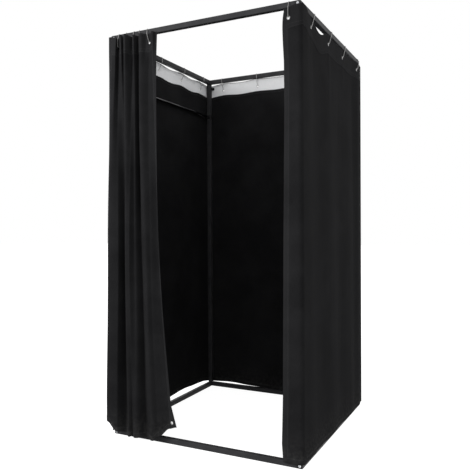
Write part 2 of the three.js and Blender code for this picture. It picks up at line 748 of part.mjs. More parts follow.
// The door curtain in five pieces: each moving one carries the hook and eyelet at its left end
function addDoorCurtain() {
  let sheet = withSpareEyelet(sheetSolid(door_row_shares.map(doorRow)));
  const front = new THREE.Vector3(0, -1, 0);
  const right = new THREE.Vector3(1, 0, 0);
  const drop_share = (cloth_top - eyelet_height) / (cloth_top - door.foot_height);
  const cuts = [];
  door_hook_lines.forEach((line_number, index) => {
    const eye = doorLine(door_line_shares[line_number], drop_share);
    sheet = withEyelet(sheet, new THREE.Vector3(eye.x, eye.y, eyelet_height), front);
    const lean = door_hook_leans[index];
    const middle = new THREE.Vector3(eye.x - lean, -rail_middle.y, 0);
    const out = -rail_middle.y - eye.y;
    const geometry = hookGeometry(middle, right, front, out, lean);
    addPiece(`door_hook_${index + 1}`, geometry, 'nickel_wire');
    cuts.push(eye.x - eyelet.radius - cloth.thickness);
  });
  const far = booth.width;
  const edges = [-far, ...cuts.slice(1), far];
  for (let i = 0; i < edges.length - 1; i += 1) {
    const width = edges[i + 1] - edges[i] - fit;
    const slab = new THREE.BoxGeometry(width, 2 * booth.depth, 2 * booth.height);
    slab.translate((edges[i] + edges[i + 1]) / 2, 0, booth.height / 2);
    const section = sheet.intersect(solidOf(slab));
    addPiece(`door_curtain_${i + 1}`, geometryOf(tidied(section)), 'curtain_cloth');
  }
}

// An angle clip on a back post: one leg lies on the post and the other backs the curtain's header
function addHeaderClips() {
  const jaw = cloth_plane - cloth.thickness / 2 - fit;
  for (const [side, right] of [['left', -1], ['right', 1]]) {
    const outline = [
      [fit, -clip.post_grip],
      [fit + clip.thickness, -clip.post_grip],
      [fit + clip.thickness, jaw - clip.thickness],
      [clip.width, jaw - clip.thickness],
      [clip.width, jaw],
      [fit, jaw],
    ];
    const corners = outline.map(([inward, out]) => new THREE.Vector2(-right * inward, out));
    const geometry = extrude(new THREE.Shape(corners), clip.height, 1);
    const piece = addPiece(`header_clip_back_${side}`, geometry, 'black_plastic');
    piece.position.set(right * (half.x - tube.side), rail_middle.y, rail_under - 2 * clip.height);
  }
}

// The origin stands on the floor, in the middle of the footprint that the curtains take
function centreFootprint() {
  const box = new THREE.Box3().setFromObject(fitting_room);
  const middle = box.getCenter(new THREE.Vector3());
  fitting_room.position.set(-Math.round(middle.x), -Math.round(middle.y), 0);
}

addPosts();
addRails('top', booth.height - tube.side / 2);
addRails('floor', tube.side / 2);
addCorners();
addGarmentRail();
addWallCurtains();
addDoorCurtain();
addHeaderClips();
centreFootprint();

export default fitting_room;
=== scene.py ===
"""Looks of a portable fitting room: tube frame, hooked wall curtains, gathered door curtain."""

import logging
import math
from dataclasses import dataclass, field
from enum import Enum

import bmesh
import bpy
import numpy as np
from mathutils import Matrix, Vector, noise


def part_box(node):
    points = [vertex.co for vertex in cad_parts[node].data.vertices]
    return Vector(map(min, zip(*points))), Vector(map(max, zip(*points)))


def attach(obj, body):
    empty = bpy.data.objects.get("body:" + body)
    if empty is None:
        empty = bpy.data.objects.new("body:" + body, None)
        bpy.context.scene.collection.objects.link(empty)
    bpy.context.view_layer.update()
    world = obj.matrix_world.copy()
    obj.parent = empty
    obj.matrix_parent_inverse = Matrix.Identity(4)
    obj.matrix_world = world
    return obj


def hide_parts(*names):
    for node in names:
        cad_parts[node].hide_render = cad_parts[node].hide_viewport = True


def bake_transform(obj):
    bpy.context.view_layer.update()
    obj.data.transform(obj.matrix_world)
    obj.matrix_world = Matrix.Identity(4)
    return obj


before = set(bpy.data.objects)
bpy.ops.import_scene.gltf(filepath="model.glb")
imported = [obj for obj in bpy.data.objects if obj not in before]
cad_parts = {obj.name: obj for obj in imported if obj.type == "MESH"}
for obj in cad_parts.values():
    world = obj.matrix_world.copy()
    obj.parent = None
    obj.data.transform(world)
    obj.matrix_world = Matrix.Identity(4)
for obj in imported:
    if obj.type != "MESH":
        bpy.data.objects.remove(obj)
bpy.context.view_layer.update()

log = logging.getLogger("fitting_room")

METRE = 0.001  # one millimetre in metres
PUNCH_SIDES = 24
PUNCH_DEPTH = 30.0  # millimetres, past both faces of a cloth


class Slot(Enum):
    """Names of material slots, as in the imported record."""

    SCREW = "screw_zinc"
    WIRE = "wire_nickel"
    CLOTH = "curtain_black"


class Face(Enum):
    """The two faces of a cloth: the one that strangers see, and the one inside the booth."""

    OUTSIDE = 1
    INSIDE = -1


# Shapes of numbers that the curtains are drawn with


def mix(start, end, share):
    """Value at a share of the way from start to end."""
    return start + (end - start) * share


def clamp_share(share):
    """Share kept between nothing and the whole."""
    return np.clip(share, 0.0, 1.0)


def ease(share):
    """Share that starts and ends gently."""
    return share * share * (3 - 2 * share)


def grown(distance, start: float, length: float):
    """Share that grows gently from 0 at a start to 1 a length further on."""
    return ease(clamp_share((distance - start) / length))


def grid(*coordinates) -> np.ndarray:
    """A grid of points from the coordinates of its rows and columns."""
    return np.stack(np.broadcast_arrays(*coordinates), axis=-1)


def added_up(steps: np.ndarray) -> np.ndarray:
    """Distance of each point from the first, by the steps between them."""
    return np.concatenate([[0], np.cumsum(steps)])


def unit(vectors: np.ndarray) -> np.ndarray:
    """Vectors of length one along the last axis."""
    lengths = np.linalg.norm(vectors, axis=-1, keepdims=True)
    return vectors / np.maximum(lengths, 1e-12)


def ripple(first: np.ndarray, second: np.ndarray, seed: float) -> np.ndarray:
    """Smooth irregular waves over two coordinates.

    Args:
        first: first coordinate, in wavelengths.
        second: second coordinate, in wavelengths.
        seed: which waves these are.

    Returns:
        Values from about -1 to 1, in the shape of the two coordinates.
    """
    flat_first, flat_second = np.broadcast_arrays(first, second)
    values = [
        noise.noise(Vector((a, b, seed))) for a, b in zip(flat_first.ravel(), flat_second.ravel())
    ]
    return np.array(values).reshape(flat_first.shape)


@dataclass(frozen=True)
class Creases:
    """Smooth irregular creases of one size, in millimetres along and down a cloth."""

    along: float
    down: float
    weight: float = 1.0
    slant: float = 0.0
    seed: float = 0.0

    def depth(self, place, drop, seed: float = 0.0) -> np.ndarray:
        """Depths from about -weight to weight, on the cloth that has this seed."""
        first = (place + self.slant * drop) / self.along
        return self.weight * ripple(first, drop / self.down, seed + self.seed)


WALL_CREASES = (Creases(95, 900), Creases(38, 420, 0.35, 0.06, seed=5))
HEADER_PUCKERS = (Creases(19, 160, seed=13), Creases(44, 90, 0.5))
RETURN_CREASES = Creases(40, 500, 0.9, seed=3)
DOOR_CREASES = (Creases(70, 520), Creases(26, 260, 0.3, -0.05, seed=4))
DOOR_CRUSHES = Creases(34, 110, 0.22, 34 / 90, seed=8)


@dataclass(frozen=True)
class Booth:
    """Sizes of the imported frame, in millimetres about the middle of the booth's floor."""

    width: float = 1000.0
    depth: float = 1000.0
    height: float = 2000.0
    tube_side: float = 25.0
    fit: float = 0.3
    cloth_top_gap: float = 1.0
    hook_drop: float = 44.0
    wire_radius: float = 1.1
    eyelet_gap: float = 0.9
    hole_radius: float = 5.0
    punch_extra: float = 0.6
    cloth_stand_off: float = 7.5

    @property
    def half_x(self) -> float:
        """Half the width."""
        return self.width / 2

    @property
    def half_y(self) -> float:
        """Half the depth."""
        return self.depth / 2

    @property
    def rail_y(self) -> float:
        """Distance from the middle to a front or back rail's middle line."""
        return self.half_y - self.tube_side / 2

    @property
    def rail_under(self) -> float:
        """Height of the underside of the top rails."""
        return self.height - self.tube_side

    @property
    def cloth_top(self) -> float:
        """Height of the curtains' upper edge at a hook."""
        return self.rail_under - self.cloth_top_gap

    @property
    def wire_foot(self) -> float:
        """Lowest point of a hook's middle line."""
        return self.rail_under - self.hook_drop

    @property
    def eyelet_height(self) -> float:
        """Height of the middles of the eyelets."""
        return self.wire_foot + self.wire_radius + self.eyelet_gap - self.hole_radius

    @property
    def cloth_plane(self) -> float:
        """Distance of the wall curtains' plane out from a rail's middle line."""
        return self.tube_side / 2 + self.cloth_stand_off

    @property
    def punch_radius(self) -> float:
        """Radius of the holes that are punched for the eyelets."""
        return self.hole_radius + self.punch_extra

    def drop_share(self, height: float, foot: float) -> float:
        """Share of a cloth's drop, from its upper edge to its foot, that is above a height."""
        return (self.cloth_top - height) / (self.cloth_top - foot)

    def centre(self) -> np.ndarray:
        """Where the middle of the booth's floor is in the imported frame, in millimetres."""
        low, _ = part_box("post_front_left")
        _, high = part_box("post_back_right")
        return np.array([(low[0] + high[0]) / 2, (low[1] + high[1]) / 2, 0.0]) / METRE


BOOTH = Booth()
CENTRE = BOOTH.centre()
LEFT, RIGHT = (-1.0, 0.0, 0.0), (1.0, 0.0, 0.0)
FRONT, BACK = (0.0, -1.0, 0.0), (0.0, 1.0, 0.0)


def placed(points) -> np.ndarray:
    """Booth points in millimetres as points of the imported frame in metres."""
    return (np.asarray(points, dtype=float) + CENTRE) * METRE


# Finishes


class Graph:
    """A node tree that is written one node at a time."""

    def __init__(self, tree: bpy.types.NodeTree) -> None:
        """Starts on an empty tree."""
        self.tree = tree

    def feed(self, node: bpy.types.Node, inputs: dict) -> None:
        """Gives a node its inputs.

        Args:
            node: the node that takes them.
            inputs: by name or number, a value, a socket, or a node for its first output.
        """
        for key, value in inputs.items():
            if isinstance(value, bpy.types.Node):
                value = value.outputs[0]
            if isinstance(value, bpy.types.NodeSocket):
                self.tree.links.new(value, node.inputs[key])
            else:
                node.inputs[key].default_value = value

    def add(self, kind: str, inputs: dict | None = None, **settings) -> bpy.types.Node:
        """Adds a node.

        Args:
            kind: the node's type.
            inputs: what it is fed.
            settings: the node's own properties.

        Returns:
            The new node.
        """
        node = self.tree.nodes.new(kind)
        for name, value in settings.items():
            setattr(node, name, value)
        self.feed(node, inputs or {})
        return node

    def maths(self, operation: str, *values) -> bpy.types.NodeSocket:
        """Result of a sum on numbers or sockets."""
        return self.add("ShaderNodeMath", dict(enumerate(values)), operation=operation).outputs[0]

    def total(self, first, *others) -> bpy.types.NodeSocket:
        """Sum of several values."""
        for other in others:
            first = self.maths("ADD", first, other)
        return first

    def between(self, share, low, high) -> bpy.types.NodeSocket:
        """Colour at a share of the way from one colour to another."""
        ends = [(*one, 1.0) if isinstance(one, tuple) else one for one in (low, high)]
        inputs = {0: share, 6: ends[0], 7: ends[1]}
        return self.add("ShaderNodeMix", inputs, data_type="RGBA").outputs[2]

    def spread(self, value, low: float, high: float, start: float = 0.0, end: float = 1.0):
        """Value from one range carried over to another and kept inside it."""
        names = {"Value": value, "From Min": low, "From Max": high, "To Min": start, "To Max": end}
        return self.add("ShaderNodeMapRange", names).outputs[0]

    def noise(self, place, scale: float, detail: float, roughness: float = 0.5):
        """Irregular values from 0 to 1."""
        inputs = {"Vector": place, "Scale": scale, "Detail": detail, "Roughness": roughness}
        return self.add("ShaderNodeTexNoise", inputs).outputs["Fac"]

    def bump(self, height, strength: float, distance: float, below=None):
        """Directions of a surface that a height raises by a distance in metres."""
        inputs = {"Height": height, "Strength": strength, "Distance": distance}
        if below is not None:
            inputs["Normal"] = below
        return self.add("ShaderNodeBump", inputs).outputs[0]


def cleared_graph(owner: bpy.types.Material | bpy.types.World) -> Graph:
    """The empty graph of a new material or world."""
    owner.use_nodes = True
    owner.node_tree.nodes.clear()
    return Graph(owner.node_tree)


def blank_material(name: str) -> tuple[bpy.types.Material, Graph, bpy.types.Node]:
    """An empty material, its graph and its surface shader."""
    material = bpy.data.materials.new(name)
    graph = cleared_graph(material)
    surface = graph.add("ShaderNodeBsdfPrincipled")
    graph.add("ShaderNodeOutputMaterial", {"Surface": surface.outputs[0]})
    return material, graph, surface


@dataclass(frozen=True)
class ClothFinish:
    """Woven cloth: threads, slubs, faded hems and a trace of floor dust."""

    name: str
    deep: tuple[float, float, float]
    faded: tuple[float, float, float]
    dust: tuple[float, float, float]
    thread_pitch: float = 0.0009
    thread_depth: float = 0.00016
    slub_depth: float = 0.0004
    slub_scale: tuple[float, float, float] = (900.0, 45.0, 1.0)
    cloud_fade: float = 0.45
    slub_fade: float = 0.3
    weave_fade: float = 0.25
    hem_fade: float = 0.3
    dust_height: float = 0.16
    dust_share: float = 0.5
    specular_level: float = 0.02
    roughness: tuple[float, float] = (0.82, 0.95)

    def weave(self, graph: Graph, flat: bpy.types.Node) -> bpy.types.NodeSocket:
        """Threads over and under each other on the cloth's flat map."""
        turns = 2 * math.pi / (20 * self.thread_pitch)
        inputs = {"Vector": flat, "Scale": turns, "Distortion": 0.6, "Detail": 1.0}
        waves = [graph.add("ShaderNodeTexWave", inputs, bands_direction=way) for way in "XY"]
        over = [wave.outputs["Fac"] for wave in waves]
        under = [graph.maths("SUBTRACT", 1.0, thread) for thread in over]
        return graph.total(graph.maths("MULTIPLY", *over), graph.maths("MULTIPLY", *under))

    def material(self) -> bpy.types.Material:
        """The finish as a material on the cloth's own flat map, in metres."""
        made, graph, surface = blank_material(self.name)
        flat = graph.add("ShaderNodeUVMap", uv_map="flat")
        place = graph.add("ShaderNodeTexCoord").outputs["Object"]
        weave = self.weave(graph, flat)
        drawn = graph.add("ShaderNodeMapping", {"Vector": flat, "Scale": self.slub_scale})
        slubs = graph.noise(drawn, 1.0, 2.0)
        clouds = graph.noise(place, 5.0, 5.0, 0.6)
        hem = graph.add("ShaderNodeAttribute", attribute_name="hem").outputs["Fac"]
        faded = graph.total(
            graph.spread(clouds, 0.35, 0.68, end=self.cloud_fade),
            graph.spread(slubs, 0.3, 0.72, end=self.slub_fade),
            graph.spread(weave, 0.2, 0.8, end=self.weave_fade),
            graph.maths("MULTIPLY", hem, self.hem_fade),
        )
        colour = graph.between(faded, self.deep, self.faded)
        height = graph.add("ShaderNodeSeparateXYZ", {"Vector": place}).outputs["Z"]
        low_down = graph.spread(height, 0.0, self.dust_height, self.dust_share, 0.0)
        specks = graph.spread(graph.noise(place, 60.0, 6.0), 0.42, 0.7)
        dusty = graph.maths("MULTIPLY", low_down, specks)
        threads = graph.bump(weave, 0.5, self.thread_depth)
        looks = {
            "Base Color": graph.between(dusty, colour, self.dust),
            "Roughness": graph.spread(clouds, 0.3, 0.7, *self.roughness),
            "Normal": graph.bump(slubs, 0.35, self.slub_depth, threads),
            "Specular IOR Level": self.specular_level,
        }
        graph.feed(surface, looks)
        return made


@dataclass(frozen=True)
class CoatFinish:
    """Paint or moulded plastic: a fine skin, rubbed patches and hairline scuffs."""

    name: str
    deep: tuple[float, float, float]
    rubbed: tuple[float, float, float]
    skin_scale: float
    skin_depth: float
    roughness: tuple[float, float]
    specular_level: float = 0.2
    hair_scale: tuple[float, float, float] = (700.0, 700.0, 18.0)

    def material(self) -> bpy.types.Material:
        """The finish as a material on object coordinates."""
        made, graph, surface = blank_material(self.name)
        place = graph.add("ShaderNodeTexCoord").outputs["Object"]
        skin = graph.noise(place, self.skin_scale, 2.0)
        patches = graph.noise(place, 14.0, 7.0, 0.65)
        drawn = graph.add("ShaderNodeMapping", {"Vector": place, "Scale": self.hair_scale})
        hairs = graph.spread(graph.noise(drawn, 1.0, 1.0), 0.66, 0.74, end=0.5)
        scuffs = graph.maths("MULTIPLY", hairs, graph.spread(patches, 0.45, 0.62))
        worn = graph.total(graph.spread(patches, 0.4, 0.75, end=0.6), scuffs)
        looks = {
            "Base Color": graph.between(worn, self.deep, self.rubbed),
            "Roughness": graph.spread(graph.total(patches, scuffs), 0.35, 0.9, *self.roughness),
            "Normal": graph.bump(skin, 0.4, self.skin_depth),
            "Specular IOR Level": self.specular_level,
        }
        graph.feed(surface, looks)
        return made


@dataclass(frozen=True)
class MetalFinish:
    """Plated metal with cloudy tarnish and fine handling marks."""

    name: str
    bright: tuple[float, float, float]
    dull: tuple[float, float, float]
    roughness: tuple[float, float]
    mark_depth: float = 0.00004

    def material(self) -> bpy.types.Material:
        """The finish as a material on object coordinates."""
        made, graph, surface = blank_material(self.name)
        place = graph.add("ShaderNodeTexCoord").outputs["Object"]
        clouds = graph.noise(place, 120.0, 5.0)
        tarnish = graph.spread(clouds, 0.38, 0.68)
        looks = {
            "Base Color": graph.between(tarnish, self.bright, self.dull),
            "Roughness": graph.spread(clouds, 0.3, 0.7, *self.roughness),
            "Normal": graph.bump(graph.noise(place, 1400.0, 2.0), 0.3, self.mark_depth),
            "Metallic": 1.0,
        }
        graph.feed(surface, looks)
        return made


CURTAIN_CLOTH = ClothFinish(
    "curtain_cloth", (0.006, 0.006, 0.0064), (0.0175, 0.0175, 0.0183), (0.045, 0.044, 0.042)
)
HEADER_TAPE = ClothFinish(
    "header_tape",
    (0.66, 0.665, 0.675),
    (0.82, 0.825, 0.835),
    (0.4, 0.38, 0.35),
    thread_pitch=0.0014,
    thread_depth=0.0003,
    specular_level=0.3,
)
THREAD = ClothFinish(
    "sewing_thread",
    (0.045, 0.045, 0.046),
    (0.09, 0.09, 0.092),
    (0.1, 0.098, 0.094),
    thread_pitch=0.0004,
)
STEEL_TUBE = CoatFinish(
    "powder_coat",
    (0.027, 0.027, 0.0287),
    (0.049, 0.049, 0.0508),
    1600.0,
    0.00008,
    (0.34, 0.5),
    0.05,
)
GLOSS_TUBE = CoatFinish(
    "gloss_coat", (0.0025, 0.0025, 0.003), (0.008, 0.008, 0.0086), 1600.0, 0.00003, (0.1, 0.2), 0.5
)
BLACK_PLASTIC = CoatFinish(
    "moulded_nylon", (0.007, 0.007, 0.008), (0.022, 0.022, 0.023), 2600.0, 0.0001, (0.42, 0.66)
)
NICKEL_WIRE = MetalFinish("nickel_wire", (0.44, 0.435, 0.43), (0.3, 0.295, 0.29), (0.2, 0.42))
ZINC_SCREW = MetalFinish("zinc_screw", (0.72, 0.73, 0.75), (0.5, 0.51, 0.53), (0.22, 0.45))


# Meshes


def link(name: str, mesh: bpy.types.Mesh) -> bpy.types.Object:
    """A new object at the origin that shows a mesh."""
    made = bpy.data.objects.new(name, mesh)
    bpy.context.scene.collection.objects.link(made)
    return made


def drop(piece: bpy.types.Object) -> None:
    """Takes a helper object away again."""
    bpy.data.objects.remove(piece, do_unlink=True)


def baked(piece: bpy.types.Object, name: str) -> bpy.types.Object:
    """Turns an object and its modifiers into a plain mesh of its own.

    Args:
        piece: the object, which is taken away.
        name: the new piece's name.

    Returns:
        The plain object.
    """
    graph = bpy.context.evaluated_depsgraph_get()
    mesh = bpy.data.meshes.new_from_object(
        piece.evaluated_get(graph), preserve_all_data_layers=True, depsgraph=graph
    )
    piece.modifiers.clear()
    drop(piece)
    mesh.name = name
    return link(name, mesh)


def turned_out(piece: bpy.types.Object) -> bpy.types.Object:
    """Points every face of a closed piece outwards and shades it smoothly."""
    work = bmesh.new()
    work.from_mesh(piece.data)
    bmesh.ops.recalc_face_normals(work, faces=work.faces)
    for one in work.faces:
        one.smooth = True
    work.to_mesh(piece.data)
    work.free()
    return piece


def carry(
    piece: bpy.types.Object, body: str | None = None, nodes: tuple[str, ...] = ()
) -> bpy.types.Object:
    """Says which body carries a piece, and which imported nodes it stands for."""
    if body:
        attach(piece, body)
    if nodes:
        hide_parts(*nodes)
    return piece


def grid_facing(points: np.ndarray, turn: int) -> np.ndarray:
    """Directions square to a grid of points, towards the outside of a cloth.

    Args:
        points: rows down and columns across.
        turn: 1 where across and down give the outside by the right hand, and -1 elsewhere.

    Returns:
        A direction for each point.
    """
    return unit(turn * np.cross(np.gradient(points, axis=1), np.gradient(points, axis=0)))


@dataclass
class Cloth:
    """A cloth of uneven thickness about a grid of middle points, rows down and columns across.

    The middle is in booth millimetres, flat holds each point's distance along and down the cloth
    before it was hung, and turn is 1 where across and down give the outside by the right hand.
    """

    middle: np.ndarray
    flat: np.ndarray
    thickness: np.ndarray
    hem: np.ndarray
    turn: int

    @classmethod
    def sewn(cls, middle: np.ndarray, along: np.ndarray, down: np.ndarray, turn: int) -> "Cloth":
        """A cloth with its hems.

        Args:
            middle: the grid of middle points.
            along: distance of each column along the flat cloth.
            down: distance of each row down it.
            turn: as the cloth's own.

        Returns:
            The cloth.
        """
        thickness, hem = SEWING.edges(along, down)
        return cls(middle, grid(along[None, :], down[:, None]), thickness, hem, turn)

    def facing(self, points: np.ndarray) -> np.ndarray:
        """Directions square to a grid of points, towards the cloth's outside."""
        return grid_facing(points, self.turn)

    def side(self, face: Face) -> np.ndarray:
        """The grid of points on one face."""
        lift = self.facing(self.middle) * (self.thickness[..., None] / 2)
        return self.middle + face.value * lift

    def strip(self, rows: slice, columns: slice, face: Face, thickness: float) -> "Cloth":
        """A second cloth that lies on a face of this one.

        Args:
            rows: the rows that it covers.
            columns: the columns that it covers.
            face: the face that it lies on.
            thickness: its own thickness.

        Returns:
            The strip.
        """
        surface = self.side(face)
        lift = thickness / 2 + SEWING.strip_gap
        raised = surface + face.value * self.facing(surface) * lift
        part = (rows, columns)
        shape = raised[part].shape[:2]
        return Cloth(
            raised[part], self.flat[part], np.full(shape, thickness), np.zeros(shape), self.turn
        )

    def flat_size(self, columns: slice = slice(None)) -> tuple[float, float]:
        """Mean width and length in metres of some of the columns, measured along the cloth."""
        middle = self.middle[:, columns]
        spans = [
            np.linalg.norm(np.diff(middle, axis=axis), axis=2).sum(axis=axis).mean()
            for axis in (1, 0)
        ]
        return float(spans[0]) * METRE, float(spans[1]) * METRE

    def build(self, name: str, columns: slice = slice(None), keep_facing: bool = False):
        """Makes the closed mesh of some of the columns.

        Args:
            name: the piece's name.
            columns: the columns that it takes.
            keep_facing: shade by the whole cloth's directions, so that a seam to the next part
                doesn't show.

        Returns:
            The object.
        """
        sides = [self.side(face) for face in Face]
        facings = [face.value * self.facing(side) for face, side in zip(Face, sides)]

        def both(grids: list[np.ndarray]) -> np.ndarray:
            """Both faces' values as one list."""
            return np.concatenate([one[:, columns].reshape(-1, *one.shape[2:]) for one in grids])

        rows, wide = self.middle[:, columns].shape[:2]
        index = np.arange(rows * wide).reshape(rows, wide)
        other = index + rows * wide
        quads = [
            [index[:-1, :-1], index[1:, :-1], index[1:, 1:], index[:-1, 1:]],
            [other[:-1, :-1], other[:-1, 1:], other[1:, 1:], other[1:, :-1]],
        ]
        for rim, back in (
            (index[0], other[0]),
            (index[-1][::-1], other[-1][::-1]),
            (index[:, 0][::-1], other[:, 0][::-1]),
            (index[:, -1], other[:, -1]),
        ):
            quads.append([rim[:-1], rim[1:], back[1:], back[:-1]])
        faces = np.concatenate([np.stack([c.ravel() for c in quad], axis=1) for quad in quads])
        mesh = bpy.data.meshes.new(name)
        mesh.from_pydata(placed(both(sides)).tolist(), [], faces.tolist())
        hem = mesh.attributes.new("hem", "FLOAT", "POINT")
        hem.data.foreach_set("value", both([self.hem] * 2))
        if keep_facing:
            kept = mesh.attributes.new("cloth_facing", "FLOAT_VECTOR", "POINT")
            kept.data.foreach_set("vector", both(facings).ravel())
        flat_map = mesh.uv_layers.new(name="flat")
        corners = np.zeros(len(mesh.loops), dtype=int)
        mesh.loops.foreach_get("vertex_index", corners)
        flat_map.data.foreach_set("uv", (both([self.flat] * 2)[corners] * METRE).ravel())
        return turned_out(link(name, mesh))

    def line(self, face: Face, row: int | None = None, column: int | None = None):
        """Points just off a face, along one row or down one column."""
        surface = self.side(face)
        raised = surface + face.value * self.facing(surface) * SEWING.stitch_lift
        return raised[row] if row is not None else raised[:, column]


def pierced(piece: bpy.types.Object, centres: list, facings: list) -> bpy.types.Object:
    """Punches the round holes of eyelets through a cloth.

    Args:
        piece: the cloth's object.
        centres: middles of the holes, in booth millimetres.
        facings: the direction of each hole.

    Returns:
        The pierced object, under the same name.
    """
    cutter_mesh = bpy.data.meshes.new("punch")
    work = bmesh.new()
    size = {"radius1": BOOTH.punch_radius * METRE, "radius2": BOOTH.punch_radius * METRE}
    size |= {"segments": PUNCH_SIDES, "depth": PUNCH_DEPTH * METRE}
    for centre, facing in zip(centres, facings):
        turn = Vector((0, 0, 1)).rotation_difference(Vector(facing)).to_matrix().to_4x4()
        matrix = Matrix.Translation(Vector(placed(centre))) @ turn
        bmesh.ops.create_cone(work, cap_ends=True, matrix=matrix, **size)
    work.to_mesh(cutter_mesh)
    work.free()
    cutter = link("punch", cutter_mesh)
    name = piece.name
    piece.name = name + ".whole"
    cut = piece.modifiers.new("punch", "BOOLEAN")
    cut.operation = "DIFFERENCE"
    cut.solver = "EXACT"
    cut.object = cutter
    done = baked(piece, name)
    drop(cutter)
    return done


def rows_of(values, key: str) -> np.ndarray:
    """Vectors of a mesh as rows."""
    found = np.zeros(len(values) * 3)
    values.foreach_get(key, found)
    return found.reshape(-1, 3)


def shade_by_facing(piece: bpy.types.Object, shortest: float = 0.6) -> None:
    """Shades a cut cloth by the directions that it had when it was whole.

    Args:
        piece: the cut cloth.
        shortest: a kept direction shorter than this was mixed from two faces, and isn't used.
    """
    mesh = piece.data
    kept = rows_of(mesh.attributes["cloth_facing"].data, "vector")
    strong = np.linalg.norm(kept, axis=1) > shortest
    chosen = np.where(strong[:, None], unit(kept), rows_of(mesh.vertices, "normal"))
    mesh.normals_split_custom_set_from_vertices(chosen.tolist())
    mesh.attributes.remove(mesh.attributes["cloth_facing"])


# Repeated pieces, made by Geometry Nodes


def node_group(name: str, sockets: dict[str, str]) -> tuple:
    """A Geometry Nodes tree with named inputs and one geometry output.

    Args:
        name: the tree's name.
        sockets: each input's name and kind, after the geometry.

    Returns:
        The graph and what it is given, by name.
    """
    tree = bpy.data.node_groups.new(name, "GeometryNodeTree")
    for socket, kind in {"Geometry": "Geometry", **sockets}.items():
        tree.interface.new_socket(socket, in_out="INPUT", socket_type=f"NodeSocket{kind}")
    tree.interface.new_socket("Geometry", in_out="OUTPUT", socket_type="NodeSocketGeometry")
    graph = Graph(tree)
    return graph, graph.add("NodeGroupInput").outputs


def close_group(graph: Graph, geometry, material) -> bpy.types.NodeTree:
    """Realizes the instances, gives them their material and ends the tree."""
    real = graph.add("GeometryNodeRealizeInstances", {"Geometry": geometry})
    smooth = graph.add("GeometryNodeSetShadeSmooth", {"Geometry": real})
    coated = graph.add("GeometryNodeSetMaterial", {"Geometry": smooth, "Material": material})
    graph.add("NodeGroupOutput", {"Geometry": coated})
    return graph.tree


def run_group(
    tree: bpy.types.NodeTree, mesh: bpy.types.Mesh, name: str, values: dict
) -> bpy.types.Object:
    """Runs a tree on a mesh and bakes what it makes.

    Args:
        tree: the Geometry Nodes tree.
        mesh: what goes into it.
        name: the new piece's name.
        values: its inputs by name.

    Returns:
        The baked piece.
    """
    piece = link(name + ".plan", mesh)
    modifier = piece.modifiers.new("repeat", "NODES")
    modifier.node_group = tree
    for item in tree.interface.items_tree:
        if item.in_out == "INPUT" and item.name in values:
            modifier[item.identifier] = values[item.name]
    return baked(piece, name)


def line_mesh(lines: list[np.ndarray]) -> bpy.types.Mesh:
    """Open lines in booth millimetres as a mesh of edges."""
    points, edges = [], []
    for line in lines:
        start = len(points)
        points.extend(placed(line).tolist())
        edges.extend((start + i, start + i + 1) for i in range(len(line) - 1))
    mesh = bpy.data.meshes.new("lines")
    mesh.from_pydata(points, edges, [])
    return mesh


def point_mesh(points: list, facings: list) -> bpy.types.Mesh:
    """Loose points in booth millimetres, each with the direction that it faces."""
    mesh = bpy.data.meshes.new("points")
    mesh.from_pydata(placed(points).tolist(), [], [])
    attribute = mesh.attributes.new("facing", "FLOAT_VECTOR", "POINT")
    attribute.data.foreach_set("vector", np.array(facings, dtype=float).ravel())
    return mesh


@dataclass
class Repeated:
    """Something that a Geometry Nodes tree makes many times over, with its sizes as inputs."""

    tree: bpy.types.NodeTree | None = field(default=None, init=False, repr=False)
    inputs = ()

    def sizes(self) -> dict[str, float | int]:
        """The sizes that the tree takes, lengths in metres, by the names of its inputs."""
        found = {name.replace("_", " ").title(): getattr(self, name) for name in self.inputs}
        return {
            name: value if isinstance(value, int) else value * METRE
            for name, value in found.items()
        }

    def open_group(self, name: str) -> tuple:
        """Starts the tree, and gives back its graph and what it is given."""
        kinds = {
            size: "Int" if isinstance(value, int) else "Float"
            for size, value in self.sizes().items()
        }
        return node_group(name, {**kinds, "Material": "Material"})

    def make(self, name: str, mesh: bpy.types.Mesh, material) -> bpy.types.Object:
        """Runs the tree on a mesh, and gives back the piece that it makes."""
        return run_group(self.tree, mesh, name, {**self.sizes(), "Material": material})


